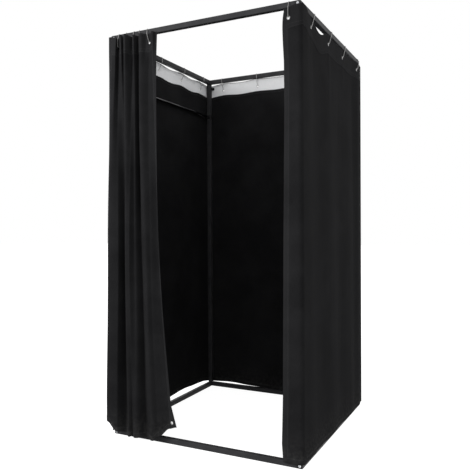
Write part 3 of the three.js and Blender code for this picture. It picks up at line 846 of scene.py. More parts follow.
@dataclass
class Stitches(Repeated):
    """Rows of lockstitch that follow lines on a cloth."""

    pitch: float = 6.5
    thread_length: float = 4.4
    thread_radius: float = 0.42
    stray: float = 0.05
    seed: int = 7
    inputs = ("pitch", "thread_length", "thread_radius", "seed")

    def __post_init__(self) -> None:
        """Builds the tree: points along each line, and one short thread on each point."""
        graph, given = self.open_group("stitch_rows")
        curve = graph.add("GeometryNodeMeshToCurve", {"Mesh": given["Geometry"]})
        even = graph.add(
            "GeometryNodeResampleCurve", {"Curve": curve, "Length": given["Pitch"]}, mode="LENGTH"
        )
        tangent = graph.add("GeometryNodeInputTangent")
        turn = graph.add("FunctionNodeAlignRotationToVector", {"Vector": tangent}, axis="X")
        stray = graph.add(
            "FunctionNodeRandomValue",
            {0: (-self.stray,) * 3, 1: (self.stray,) * 3, "Seed": given["Seed"]},
            data_type="FLOAT_VECTOR",
        )
        loose = graph.add(
            "FunctionNodeRotateRotation",
            {"Rotation": turn, "Rotate By": stray},
            rotation_space="LOCAL",
        )
        thread = graph.add("GeometryNodeMeshIcoSphere", {"Radius": 1.0, "Subdivisions": 1})
        half, radius = graph.maths("MULTIPLY", given["Thread Length"], 0.5), given["Thread Radius"]
        size = graph.add("ShaderNodeCombineXYZ", {"X": half, "Y": radius, "Z": radius})
        rows = graph.add(
            "GeometryNodeInstanceOnPoints",
            {"Points": even, "Instance": thread, "Rotation": loose, "Scale": size},
        )
        self.tree = close_group(graph, rows, given["Material"])

    def sew(self, name: str, lines: list[np.ndarray], thread) -> bpy.types.Object:
        """Sews along lines and gives back the stitches of one piece."""
        piece = self.make(name, line_mesh(lines), thread)
        if not piece.data.uv_layers:
            piece.data.uv_layers.new(name="flat")
        return piece


@dataclass
class Eyelets(Repeated):
    """Pressed eyelets: a domed metal ring on a hole."""

    radius: float = 9.0
    hole_radius: float = 4.9
    depth: float = 4.2
    inset: float = 0.4
    round_steps: int = 36
    ring_steps: int = 14
    inputs = ("radius", "hole_radius", "depth", "round_steps", "ring_steps")

    def __post_init__(self) -> None:
        """Builds the tree: a flattened ring set on each point and turned to face its way."""
        graph, given = self.open_group("eyelet_rings")
        outer, inner = given["Radius"], given["Hole Radius"]
        section = graph.maths("MULTIPLY", graph.maths("SUBTRACT", outer, inner), 0.5)
        middle = graph.maths("MULTIPLY", graph.maths("ADD", outer, inner), 0.5)
        circle = "GeometryNodeCurvePrimitiveCircle"
        ring = graph.add(circle, {"Resolution": given["Round Steps"], "Radius": middle})
        profile = graph.add(circle, {"Resolution": given["Ring Steps"], "Radius": section})
        swept = graph.add("GeometryNodeCurveToMesh", {"Curve": ring, "Profile Curve": profile})
        flat = graph.maths("DIVIDE", graph.maths("MULTIPLY", given["Depth"], 0.5), section)
        size = graph.add("ShaderNodeCombineXYZ", {"X": 1.0, "Y": 1.0, "Z": flat})
        pressed = graph.add("GeometryNodeTransform", {"Geometry": swept, "Scale": size})
        facing = graph.add(
            "GeometryNodeInputNamedAttribute", {"Name": "facing"}, data_type="FLOAT_VECTOR"
        )
        turn = graph.add("FunctionNodeAlignRotationToVector", {"Vector": facing}, axis="Z")
        rings = graph.add(
            "GeometryNodeInstanceOnPoints",
            {"Points": given["Geometry"], "Instance": pressed, "Rotation": turn},
        )
        self.tree = close_group(graph, rings, given["Material"])

    def press(self, name: str, centres: list, facings: list, metal) -> bpy.types.Object:
        """Presses rings at points of a cloth, and gives back the piece of them all."""
        return self.make(name, point_mesh(centres, facings), metal)


@dataclass
class WireHooks(Repeated):
    """Hooks of bent wire that loop round a rail and through an eyelet."""

    bend_radius: float = 6.0
    corner_radius: float = 3.0
    corner_cut: float = 2.0
    longest_cut: float = 0.25
    shoulder_drop: float = 2.2
    latch_gap: float = 3.0
    latch_share: float = 0.72
    arc_steps: int = 14
    wire_sides: int = 12
    wire_radius: float = 1.35
    inputs = ("wire_radius", "wire_sides")

    def __post_init__(self) -> None:
        """Builds the tree: round wire along each line, its ends closed."""
        graph, given = self.open_group("bent_wire")
        curve = graph.add("GeometryNodeMeshToCurve", {"Mesh": given["Geometry"]})
        profile = graph.add(
            "GeometryNodeCurvePrimitiveCircle",
            {"Resolution": given["Wire Sides"], "Radius": given["Wire Radius"]},
        )
        wire = graph.add(
            "GeometryNodeCurveToMesh",
            {"Curve": curve, "Profile Curve": profile, "Fill Caps": True},
        )
        self.tree = close_group(graph, wire, given["Material"])

    def arc(self, middle: tuple[float, float], radius: float, start: float, end: float) -> list:
        """Points of an arc in the plane of the hook."""
        angles = np.linspace(start, end, self.arc_steps + 1)
        across, up = radius * np.cos(angles), radius * np.sin(angles)
        return list(zip(middle[0] + across, middle[1] + up))

    def outline(self, out: float) -> np.ndarray:
        """The wire's middle line.

        Args:
            out: distance of the eyelet from the rail's middle line.

        Returns:
            Points of distance out from the rail's middle line, and height.
        """
        side = BOOTH.tube_side / 2 + BOOTH.fit + BOOTH.wire_radius
        over = BOOTH.height + BOOTH.fit + BOOTH.wire_radius
        under = BOOTH.rail_under - self.shoulder_drop
        shoulder = max(side, out + self.bend_radius)
        bend_height = BOOTH.wire_foot + self.bend_radius
        foot, top = (out - self.bend_radius, bend_height), (-side, under)
        gap_share = self.latch_gap / (top[1] - foot[1])

        def leg(share: float) -> tuple[float, float]:
            """A point of the inner leg, from its foot to its shoulder."""
            return mix(foot[0], top[0], share), mix(foot[1], top[1], share)

        quarter, round_off = math.pi / 2, self.corner_radius
        points = [
            leg(self.latch_share + gap_share),
            top,
            *self.arc((-side + round_off, over - round_off), round_off, 2 * quarter, quarter),
            *self.arc((side - round_off, over - round_off), round_off, quarter, 0),
            (shoulder, under),
            *self.arc((out, bend_height), self.bend_radius, 0, -2 * quarter),
            leg(self.latch_share),
        ]
        line = np.array(points)
        for _ in range(2):
            cut = [line[:1], *[self.cut_corner(line, i) for i in range(len(line) - 1)], line[-1:]]
            line = np.concatenate(cut)
        return line

    def cut_corner(self, line: np.ndarray, index: int) -> np.ndarray:
        """Two points on a stretch of a line, close to its ends, which round its corners."""
        start, end = line[index], line[index + 1]
        length = max(float(np.linalg.norm(end - start)), 1e-6)
        reach = min(self.longest_cut, self.corner_cut / length)
        return np.array([mix(start, end, reach), mix(start, end, 1 - reach)])

    def line(self, middle, along, outward, out: float, lean: float) -> np.ndarray:
        """The wire's middle line in the booth.

        Args:
            middle: a point of the rail's middle line above the hook.
            along: direction of the rail.
            outward: direction out of the booth.
            out: distance of the eyelet from the rail's middle line.
            lean: how far the foot stands along the rail from the top.

        Returns:
            Points in booth millimetres.
        """
        outline = self.outline(out)
        fall = (BOOTH.height - outline[:, 1]) / (BOOTH.height - BOOTH.wire_foot)
        drift = lean * np.maximum(0, fall)
        points = np.zeros((len(outline), 3))
        points[:, :2] = np.array(middle)[:2]
        points += np.outer(outline[:, 0], outward) + np.outer(drift, along)
        points[:, 2] = outline[:, 1]
        return points

    def bend(self, name: str, lines: list[np.ndarray], metal) -> bpy.types.Object:
        """Bends hooks along lines, and gives back the piece of them all."""
        return self.make(name, line_mesh(lines), metal)


# Curtains


@dataclass(frozen=True)
class Sewing:
    """Sizes of the cloth and its sewn edges, in millimetres."""

    thickness: float = 1.5
    hem_extra: float = 1.0
    hem_width: float = 24.0
    hem_stitch: float = 21.5
    edge_round: float = 1.2
    step: float = 1.6
    rim_share: float = 0.45
    header_width: float = 92.0
    tape_inset: float = 2.5
    tape_width: float = 77.0
    tape_thickness: float = 0.9
    header_stitches: tuple[float, ...] = (75.5, 90.0)
    top_stitch: float = 6.0
    stitch_lift: float = 0.2
    strip_gap: float = 0.05
    header_rows: tuple[float, ...] = (16, 28, 40, 53, 65)
    row_pitch: float = 14.0
    column_pitch: float = 9.0

    def row_drops(self, length: float) -> np.ndarray:
        """Distances down the cloth at which it has a row of points."""
        header = [0, self.edge_round, self.tape_inset, self.top_stitch, *self.header_rows]
        header += [*self.header_stitches, self.tape_width, self.header_width]
        header += [self.header_width + self.step]
        foot = [self.hem_width + self.step, self.hem_width, self.hem_stitch, self.hem_width / 2]
        foot += [self.edge_round, 0]
        first, last = header[-1], length - foot[0]
        count = int(round((last - first) / self.row_pitch))
        between = np.linspace(first, last, count + 1)[1:-1]
        return np.unique(np.concatenate([header, between, [length - f for f in foot]]))

    def column_places(self, start: float, end: float) -> np.ndarray:
        """Distances along the cloth at which it has a column of points, hems included."""
        hem = [0, self.edge_round, self.hem_width / 2, self.hem_stitch, self.hem_width]
        hem += [self.hem_width + self.step]
        count = int(round((end - start - 2 * hem[-1]) / self.column_pitch))
        between = np.linspace(start + hem[-1], end - hem[-1], count + 1)[1:-1]
        sides = [start + h for h in hem], [end - h for h in hem]
        return np.unique(np.concatenate([*sides, between]))

    def edges(self, along: np.ndarray, down: np.ndarray) -> tuple[np.ndarray, np.ndarray]:
        """Thickness and hems of a cloth.

        Args:
            along: distance along the flat cloth of each column.
            down: distance down the flat cloth of each row.

        Returns:
            Grids of thickness and of hem, which is 1 in a hem and 0 elsewhere.
        """
        from_side = np.minimum(along - along[0], along[-1] - along)[None, :]
        from_foot, from_top = (down[-1] - down)[:, None], down[:, None]

        def inside(distance: np.ndarray, width: float) -> np.ndarray:
            """1 within a width of an edge, and 0 past it."""
            return 1 - grown(distance, width, self.step)

        hem = np.maximum(inside(from_side, self.hem_width), inside(from_foot, self.hem_width))
        hem = np.maximum(hem, inside(from_top, self.header_width))
        to_edge = np.minimum(np.minimum(from_side, from_foot), from_top)
        rounded = mix(self.rim_share, 1, clamp_share(to_edge / self.edge_round))
        return (self.thickness + self.hem_extra * hem) * rounded, hem


SEWING = Sewing()


def nearest(values: np.ndarray, wanted: float) -> int:
    """Index of the value closest to a wanted one."""
    return int(np.abs(values - wanted).argmin())


def eyelet_calm(cloth_points: np.ndarray, eyes: list[np.ndarray], reach: float = 13.0):
    """0 at the eyelets and 1 away from them, where a cloth is free to crease."""
    calm = np.ones(cloth_points.shape[:2])
    for eye in eyes:
        distance = np.linalg.norm(cloth_points - np.asarray(eye), axis=2)
        calm *= 1 - np.exp(-((distance / reach) ** 2) / 2)
    return calm


def creased(kinds: tuple[Creases, ...], place, drop, seed: float) -> np.ndarray:
    """Depths of several kinds of creases together."""
    return sum(kind.depth(place, drop, seed) for kind in kinds)


@dataclass
class WallCurtain:
    """A curtain between two corners of the booth, hooked to a top rail."""

    name: str
    along: tuple[float, float, float]
    outward: tuple[float, float, float]
    half_wall: float
    half_across: float
    hook_shares: tuple[float, ...]
    sag_shares: tuple[float, ...]
    tuck: float
    foot_shares: tuple[float, ...]
    foot_heights: tuple[float, ...]
    seed: float
    hook_lean: float = 0.0
    turn: int = 1
    flat_length: float = 18.0
    tuck_length: float = 120.0
    end_gap: float = 2.5
    wave_depth: float = 3.5
    wave_length: float = 330.0
    wave_settles: float = 0.25
    sag: float = 34.0
    crease_depth: float = 1.7
    crease_growth: tuple[float, float] = (60, 200)
    pinch_depth: float = 2.4
    pinch_growth: tuple[float, float] = (50, 50)
    pinch_spread: tuple[float, float] = (8, 0.055)
    pinch_fade: float = 320.0
    drag_depth: float = 0.8
    drag_drop: tuple[float, float] = (130, 80)
    drag_lengths: tuple[float, float, float] = (60, 70, 150)
    drag_seed: float = 9.0
    pucker_depth: float = 0.7

    @property
    def reach(self) -> float:
        """Distance of the curtain's free end from the middle of its wall."""
        return self.half_wall + BOOTH.cloth_stand_off - self.end_gap

    def foot(self, place):
        """Height of the lower edge at places along the wall."""
        share = (place + self.reach) / (2 * self.reach)
        return np.interp(share, self.foot_shares, self.foot_heights)

    def hook_places(self) -> np.ndarray:
        """Places along the wall of the hooks' feet."""
        return np.array(self.hook_shares) * self.half_wall + self.hook_lean

    def at(self, place, inward, height) -> np.ndarray:
        """Booth points from places along the wall, distances in from its plane, and heights."""
        plane = self.half_across + BOOTH.cloth_stand_off
        place, inward, height = np.broadcast_arrays(place, inward, height)
        points = place[..., None] * np.array(self.along)
        points = points + (plane - inward)[..., None] * np.array(self.outward)
        return points + height[..., None] * np.array((0.0, 0.0, 1.0))

    def away(self, place) -> np.ndarray:
        """0 at the posts and 1 between them, where the cloth may come in under the rail."""
        from_post = self.half_wall - BOOTH.tube_side - self.flat_length - np.abs(place)
        return grown(from_post, 0, self.tuck_length)

    def inward(self, place, share) -> np.ndarray:
        """How far the cloth comes in from its plane, at a share of its drop."""
        wave = self.wave_depth * np.sin(2 * np.pi * place / self.wave_length)
        settled = grown(share, 0, self.wave_settles)
        return self.away(place) * (self.tuck * (1 - share) + wave * settled)

    def header_sag(self, place: np.ndarray, start: float, end: float) -> np.ndarray:
        """How far the upper edge hangs down between the hooks."""
        stops = np.array([start, *self.hook_places(), end])
        bay = np.clip(np.searchsorted(stops, place) - 1, 0, len(stops) - 2)
        share = clamp_share((place - stops[bay]) / (stops[bay + 1] - stops[bay]))
        depth = self.sag * np.array(self.sag_shares)[bay]
        middle = np.sin(np.pi * share) ** 2
        first, last = (1 - share) ** 2, share**2
        return depth * np.where(bay == 0, first, np.where(bay == len(stops) - 2, last, middle))

    def creases(self, place: np.ndarray, down: np.ndarray) -> np.ndarray:
        """Fine folds: soft upright creases, and a pinched fold below each eyelet."""
        folds = self.crease_depth * grown(down, *self.crease_growth)
        folds = folds * creased(WALL_CREASES, place, down, self.seed)
        narrow, widening = self.pinch_spread
        depth = self.pinch_depth * grown(down, *self.pinch_growth) * np.exp(-down / self.pinch_fade)
        for foot in self.hook_places():
            folds = folds - depth * np.exp(-(((place - foot) / (narrow + widening * down)) ** 2))
        across, fall, between = self.drag_lengths
        drag = ripple(place / across - down / fall, place / between, self.seed + self.drag_seed)
        middle, spread = self.drag_drop
        folds = folds + self.drag_depth * drag * np.exp(-(((down - middle) / spread) ** 2))
        header = np.exp(-((down / SEWING.header_width) ** 4))
        puckers = creased(HEADER_PUCKERS, place, down, self.seed)
        return folds + self.pucker_depth * puckers * header

    def eyes(self) -> list[np.ndarray]:
        """Middles of the eyelets, those of the wall last."""
        share = BOOTH.drop_share(BOOTH.eyelet_height, self.foot(self.reach))
        places = self.hook_places()
        return [self.at(p, self.inward(p, share), BOOTH.eyelet_height) for p in places]

    def eye_facings(self) -> list[tuple[float, float, float]]:
        """Directions that the eyelets face."""
        return [self.outward] * len(self.hook_shares)

    def hook_lines(self) -> list[np.ndarray]:
        """Middle lines of the hooks' wires."""
        lines = []
        for share, eye in zip(self.hook_shares, self.eyes()[-len(self.hook_shares):]):
            rail = self.at(share * self.half_wall, BOOTH.cloth_plane, 0.0)
            out = float(np.dot(eye - rail, self.outward))
            lines.append(WIRE_HOOKS.line(rail, self.along, self.outward, out, self.hook_lean))
        return lines

    def end_pinch(self, places: np.ndarray, height: np.ndarray):
        """How far the end of the cloth is drawn in; not at all on a plain wall."""
        return 0.0

    def wall_grid(self, places: np.ndarray, top, foot, down: np.ndarray) -> np.ndarray:
        """Middle points of the cloth along the wall.

        Args:
            places: place of each column along the wall.
            top: height of the upper edge at each column.
            foot: height of the lower edge at each column.
            down: distance of each row down the cloth.

        Returns:
            A grid of booth points.
        """
        share = (down / down[-1])[:, None]
        height, inward = mix(top, foot, share), self.inward(places, share)
        calm = eyelet_calm(self.at(places, inward, height), self.eyes()) * self.away(places)
        inward = inward + calm * self.creases(places, down[:, None])
        return self.at(places, inward + self.end_pinch(places, height), height)

    def hang(self) -> Cloth:
        """The curtain's cloth as it hangs."""
        places = SEWING.column_places(-self.reach, self.reach)
        top = BOOTH.cloth_top - self.header_sag(places, -self.reach, self.reach)
        foot = self.foot(places)
        down = SEWING.row_drops(BOOTH.cloth_top - float(foot.mean()))
        return self.sewn(self.wall_grid(places, top, foot, down), down)

    def sewn(self, middle: np.ndarray, down: np.ndarray) -> Cloth:
        """The cloth about a grid of middle points, with its hems."""
        row = middle[len(down) // 2]
        along = added_up(np.linalg.norm(np.diff(row, axis=0), axis=1))
        return Cloth.sewn(middle, along, down, self.turn)

    def nodes(self) -> list[str]:
        """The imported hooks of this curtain."""
        return [f"hook_{self.name}_{i + 1}" for i in range(len(self.eyes()))]

    def dress(self, finishes: "Finishes") -> None:
        """Makes the cloth, its tape, its stitches and its eyelets, all carried by the frame."""
        cloth = self.hang()
        label, facings = self.name + "_{}", self.eye_facings()
        piece, strip, thread, rings = sew_panel(label, cloth, self.eyes(), facings, finishes)
        carry(piece, "frame", (f"curtain_{self.name}",))
        for one, slot in ((strip, Slot.CLOTH), (thread, Slot.CLOTH), (rings, Slot.WIRE)):
            carry(one, "frame")
        flat = cloth.flat_size()
        faces = len(piece.data.polygons)
        log.info("%s: %.3f m wide, %.3f m long, %d faces", piece.name, *flat, faces)


@dataclass
class CornerCurtain(WallCurtain):
    """The right curtain, which turns round the front post and ends beside the doorway."""

    return_length: float = 88.0
    return_hook_inset: float = 27.0
    return_rise: float = 8.0
    return_rise_length: float = 66.0
    return_growth: tuple[float, float] = (80, 200)
    return_settles: float = 40.0
    corner_radius: float = 20.0
    corner_steps: int = 11
    column_overrun: float = 30.0
    hood_rise: float = 8.0
    hood_length: float = 45.0
    hood_fade: float = 40.0
    mean_foot: float = 17.0
    pinch_heights: tuple[float, ...] = (0, 300, 1700, 1880, 1975)
    back_pinches: tuple[float, ...] = (5, 4, 6, 5, 5)
    back_pinch_length: float = 70.0
    back_foot_rise: float = 9.0
    back_foot_length: float = 30.0
    edge_heights: tuple[float, ...] = (
        17, 41, 100, 200, 313, 1000, 1548, 1747, 1830, 1890, 1928, 1967
    )
    edge_shifts: tuple[float, ...] = (2, 1, -3, 0, 3, 9, 16, 14.5, 10, 8, 9.5, 16)

    @property
    def return_hook(self) -> float:
        """Place across the booth of the hook on the front rail."""
        return BOOTH.half_x - BOOTH.tube_side - self.return_hook_inset

    @property
    def front_plane(self) -> float:
        """Where the turned part stands, towards the front."""
        return -BOOTH.half_y - BOOTH.cloth_stand_off

    def rise(self, distance) -> np.ndarray:
        """How far the upper edge stands up near the corner, where it passes over no hook."""
        return self.return_rise * (1 - grown(distance, 0, self.return_rise_length))

    def hood(self, distance) -> np.ndarray:
        """How far the cloth beside the corner stands up over the rail on the wall's side."""
        return self.hood_rise * (1 - grown(distance, self.hood_length, self.hood_fade))

    def eyes(self) -> list[np.ndarray]:
        """Middles of the eyelets, the one beside the doorway first."""
        front = np.array((self.return_hook, self.front_plane, BOOTH.eyelet_height))
        return [front, *super().eyes()]

    def eye_facings(self) -> list[tuple[float, float, float]]:
        """Directions that the eyelets face."""
        return [FRONT, *super().eye_facings()]

    def hook_lines(self) -> list[np.ndarray]:
        """Middle lines of the hooks' wires, the one on the front rail first."""
        rail = (self.return_hook, -BOOTH.rail_y, 0.0)
        front = WIRE_HOOKS.line(rail, RIGHT, FRONT, BOOTH.cloth_plane, 0.0)
        return [front, *super().hook_lines()]

    def end_pinch(self, places: np.ndarray, height: np.ndarray) -> np.ndarray:
        """How far the end of the cloth is drawn in at the back post."""
        length = self.back_pinch_length
        pinch = np.interp(height, self.pinch_heights, self.back_pinches)
        return pinch * grown(places, self.reach - length, length)

    def return_grid(self, edge: float, arc_x: float, down: np.ndarray) -> np.ndarray:
        """Middle points of the part beside the doorway.

        Args:
            edge: where it begins.
            arc_x: where the turn round the post begins.
            down: distance of each row down the cloth.

        Returns:
            A grid of booth points.
        """
        front = SEWING.column_places(edge, arc_x + self.column_overrun)
        front = front[front < arc_x - 1]
        drops, to_arc = down[:, None], arc_x - front
        lift = self.rise(np.abs(to_arc) + np.maximum(0, self.return_hook - front))
        height = mix(BOOTH.cloth_top + lift, self.foot(-self.reach), drops / down[-1])
        bow = np.interp(height, self.edge_heights, self.edge_shifts) * (to_arc / (arc_x - edge))
        creases = RETURN_CREASES.depth(front, drops) * grown(drops, *self.return_growth)
        creases = creases * grown(to_arc, 0, self.return_settles)
        return grid(front + bow, self.front_plane + creases, height)

    def hang(self) -> Cloth:
        """The curtain's cloth as it hangs, from its front edge round the post and back."""
        arc_x = BOOTH.half_x + BOOTH.cloth_stand_off - self.corner_radius
        arc_y = self.front_plane + self.corner_radius
        down = SEWING.row_drops(BOOTH.cloth_top - self.mean_foot)

        turns = np.linspace(0, np.pi / 2, self.corner_steps)
        corner_top = BOOTH.cloth_top + self.return_rise + self.hood_rise * ease(turns / turns[-1])
        corner = grid(
            arc_x + self.corner_radius * np.sin(turns),
            arc_y - self.corner_radius * np.cos(turns),
            mix(corner_top, self.foot(-self.reach), down[:, None] / down[-1]),
        )

        wall = SEWING.column_places(arc_y - self.column_overrun, self.reach)
        wall = wall[wall > arc_y + 1]
        sag = self.header_sag(wall, arc_y, self.reach)
        top = BOOTH.cloth_top + self.rise(wall - arc_y) + self.hood(wall - arc_y) - sag
        length = self.back_foot_length
        foot = self.foot(wall) + self.back_foot_rise * grown(wall, self.reach - length, length)
        front = self.return_grid(BOOTH.half_x - self.return_length, arc_x, down)
        side = self.wall_grid(wall, top, foot, down)
        return self.sewn(np.concatenate([front, corner, side], axis=1), down)


def header_tape(cloth: Cloth, columns: slice) -> Cloth:
    """The pale tape that backs a curtain's header."""
    down = cloth.flat[:, 0, 1]
    rows = slice(nearest(down, SEWING.tape_inset), nearest(down, SEWING.tape_width) + 1)
    return cloth.strip(rows, columns, Face.INSIDE, SEWING.tape_thickness)


def seam_lines(cloth: Cloth, tape: Cloth, columns: slice, inset: int) -> list[np.ndarray]:
    """Lines of stitching on both faces of a curtain and on its tape.

    Args:
        cloth: the whole cloth.
        tape: the tape behind the columns.
        columns: the columns to sew.
        inset: how many columns of the tape stay free at its ends.

    Returns:
        Lines of points in booth millimetres.
    """
    down, along = cloth.flat[:, 0, 1], cloth.flat[0, :, 0]
    first, last = nearest(along, SEWING.hem_stitch), nearest(along, along[-1] - SEWING.hem_stitch)
    foot_row = nearest(down, down[-1] - SEWING.hem_stitch)
    head_rows = [nearest(down, d) for d in (SEWING.top_stitch, *SEWING.header_stitches)]
    start, stop = max(columns.start, first), min(columns.stop, last + 1)
    lines = []
    for face in Face:
        for column in (first, last):
            if columns.start <= column < columns.stop:
                lines.append(cloth.line(face, column=column)[head_rows[0] : foot_row + 1])
        shown = [*head_rows, foot_row] if face is Face.OUTSIDE else [head_rows[-1], foot_row]
        lines.extend(cloth.line(face, row=row)[start:stop] for row in shown)
    for drop_at in (SEWING.top_stitch, SEWING.header_stitches[0]):
        row = nearest(tape.flat[:, 0, 1], drop_at)
        lines.append(tape.line(Face.INSIDE, row=row)[inset:-inset])
    return lines


def set_finish(piece: bpy.types.Object, material: bpy.types.Material) -> None:
    """Gives the whole of a piece one finish."""
    piece.data.materials.clear()
    piece.data.materials.append(material)


def sew_panel(
    label: str,
    cloth: Cloth,
    eyes: list,
    facings: list,
    finishes: "Finishes",
    columns: slice | None = None,
    spare: tuple[list, list] = ([], []),
) -> list[bpy.types.Object]:
    """Makes a cloth, or some of its columns, with what is sewn on it.

    Args:
        label: the pieces' names, with a gap for what each of them is.
        cloth: the whole cloth.
        eyes: middles of the eyelets.
        facings: the direction of each eyelet.
        finishes: the materials of the booth.
        columns: the columns to take, or None for all of them.
        spare: middles and directions of holes that miss the tape.

    Returns:
        The cloth, its tape, its stitches and its eyelets.
    """
    cut, end = columns is not None, cloth.middle.shape[1]
    columns = columns or slice(0, end)
    piece = cloth.build(label.format("cloth"), columns, keep_facing=cut)
    piece = pierced(piece, [*eyes, *spare[0]], [*facings, *spare[1]])
    if cut:
        shade_by_facing(piece)
    set_finish(piece, finishes.cloth)
    tape = header_tape(cloth, slice(max(columns.start, 1), min(columns.stop, end - 1)))
    strip = pierced(tape.build(label.format("tape")), eyes, facings)
    set_finish(strip, finishes.tape)
    lines = seam_lines(cloth, tape, columns, 1 if cut else 3)
    thread = STITCHES.sew(label.format("stitching"), lines, finishes.thread)
    centres = [eye - EYELETS.inset * np.array(facing) for eye, facing in zip(eyes, facings)]
    ring_name = label.format("eyelet" if cut else "eyelets")
    return [piece, strip, thread, EYELETS.press(ring_name, centres, facings, finishes.metal)]


@dataclass(frozen=True)
class FoldLine:
    """A fold of the door curtain: shares at the header, the waist and the foot."""

    across: tuple[float, float, float]
    forward: tuple[float, float, float]
    crest: float
    rise: float


DOOR_LINES = (
    FoldLine((0.005, 0, 0), (0.46, 0.45, 0.22), 2.4, 1.05),
    FoldLine((0.163, 0.1, 0.062), (0.5, 0.95, 0.86), 1, 0.8),
    FoldLine((0.16, 0.225, 0.19), (0.14, 0.7, 0.7), 0, 0.2),
    FoldLine((0.288, 0.295, 0.278), (0.68, 0.1, -0.08), 2.1, 0.1),
    FoldLine((0.326, 0.345, 0.335), (0.16, 0.5, 0.42), 0, 0.08),
    FoldLine((0.411, 0.425, 0.398), (0.9, 0.96, 0.93), 0.8, 0.1),
    FoldLine((0.489, 0.487, 0.429), (0.15, 0.86, 0.6), 0, 0.12),
    FoldLine((0.546, 0.545, 0.486), (0.61, 0.5, 0.93), 0, 0.1),
    FoldLine((0.603, 0.6, 0.6), (0, 0.04, 0.07), 0, 0.1),
    FoldLine((0.681, 0.765, 0.752), (0.62, 0.88, 0.95), 0, 0.13),
    FoldLine((0.837, 0.845, 0.815), (0.23, 0.58, 0.68), 0, 0.38),
    FoldLine((0.929, 0.945, 0.955), (0.58, 0.32, 0.44), 0, 0.92),
    FoldLine((1, 1, 1.018), (0.32, 0.62, 0.62), 0, 1.12),
)


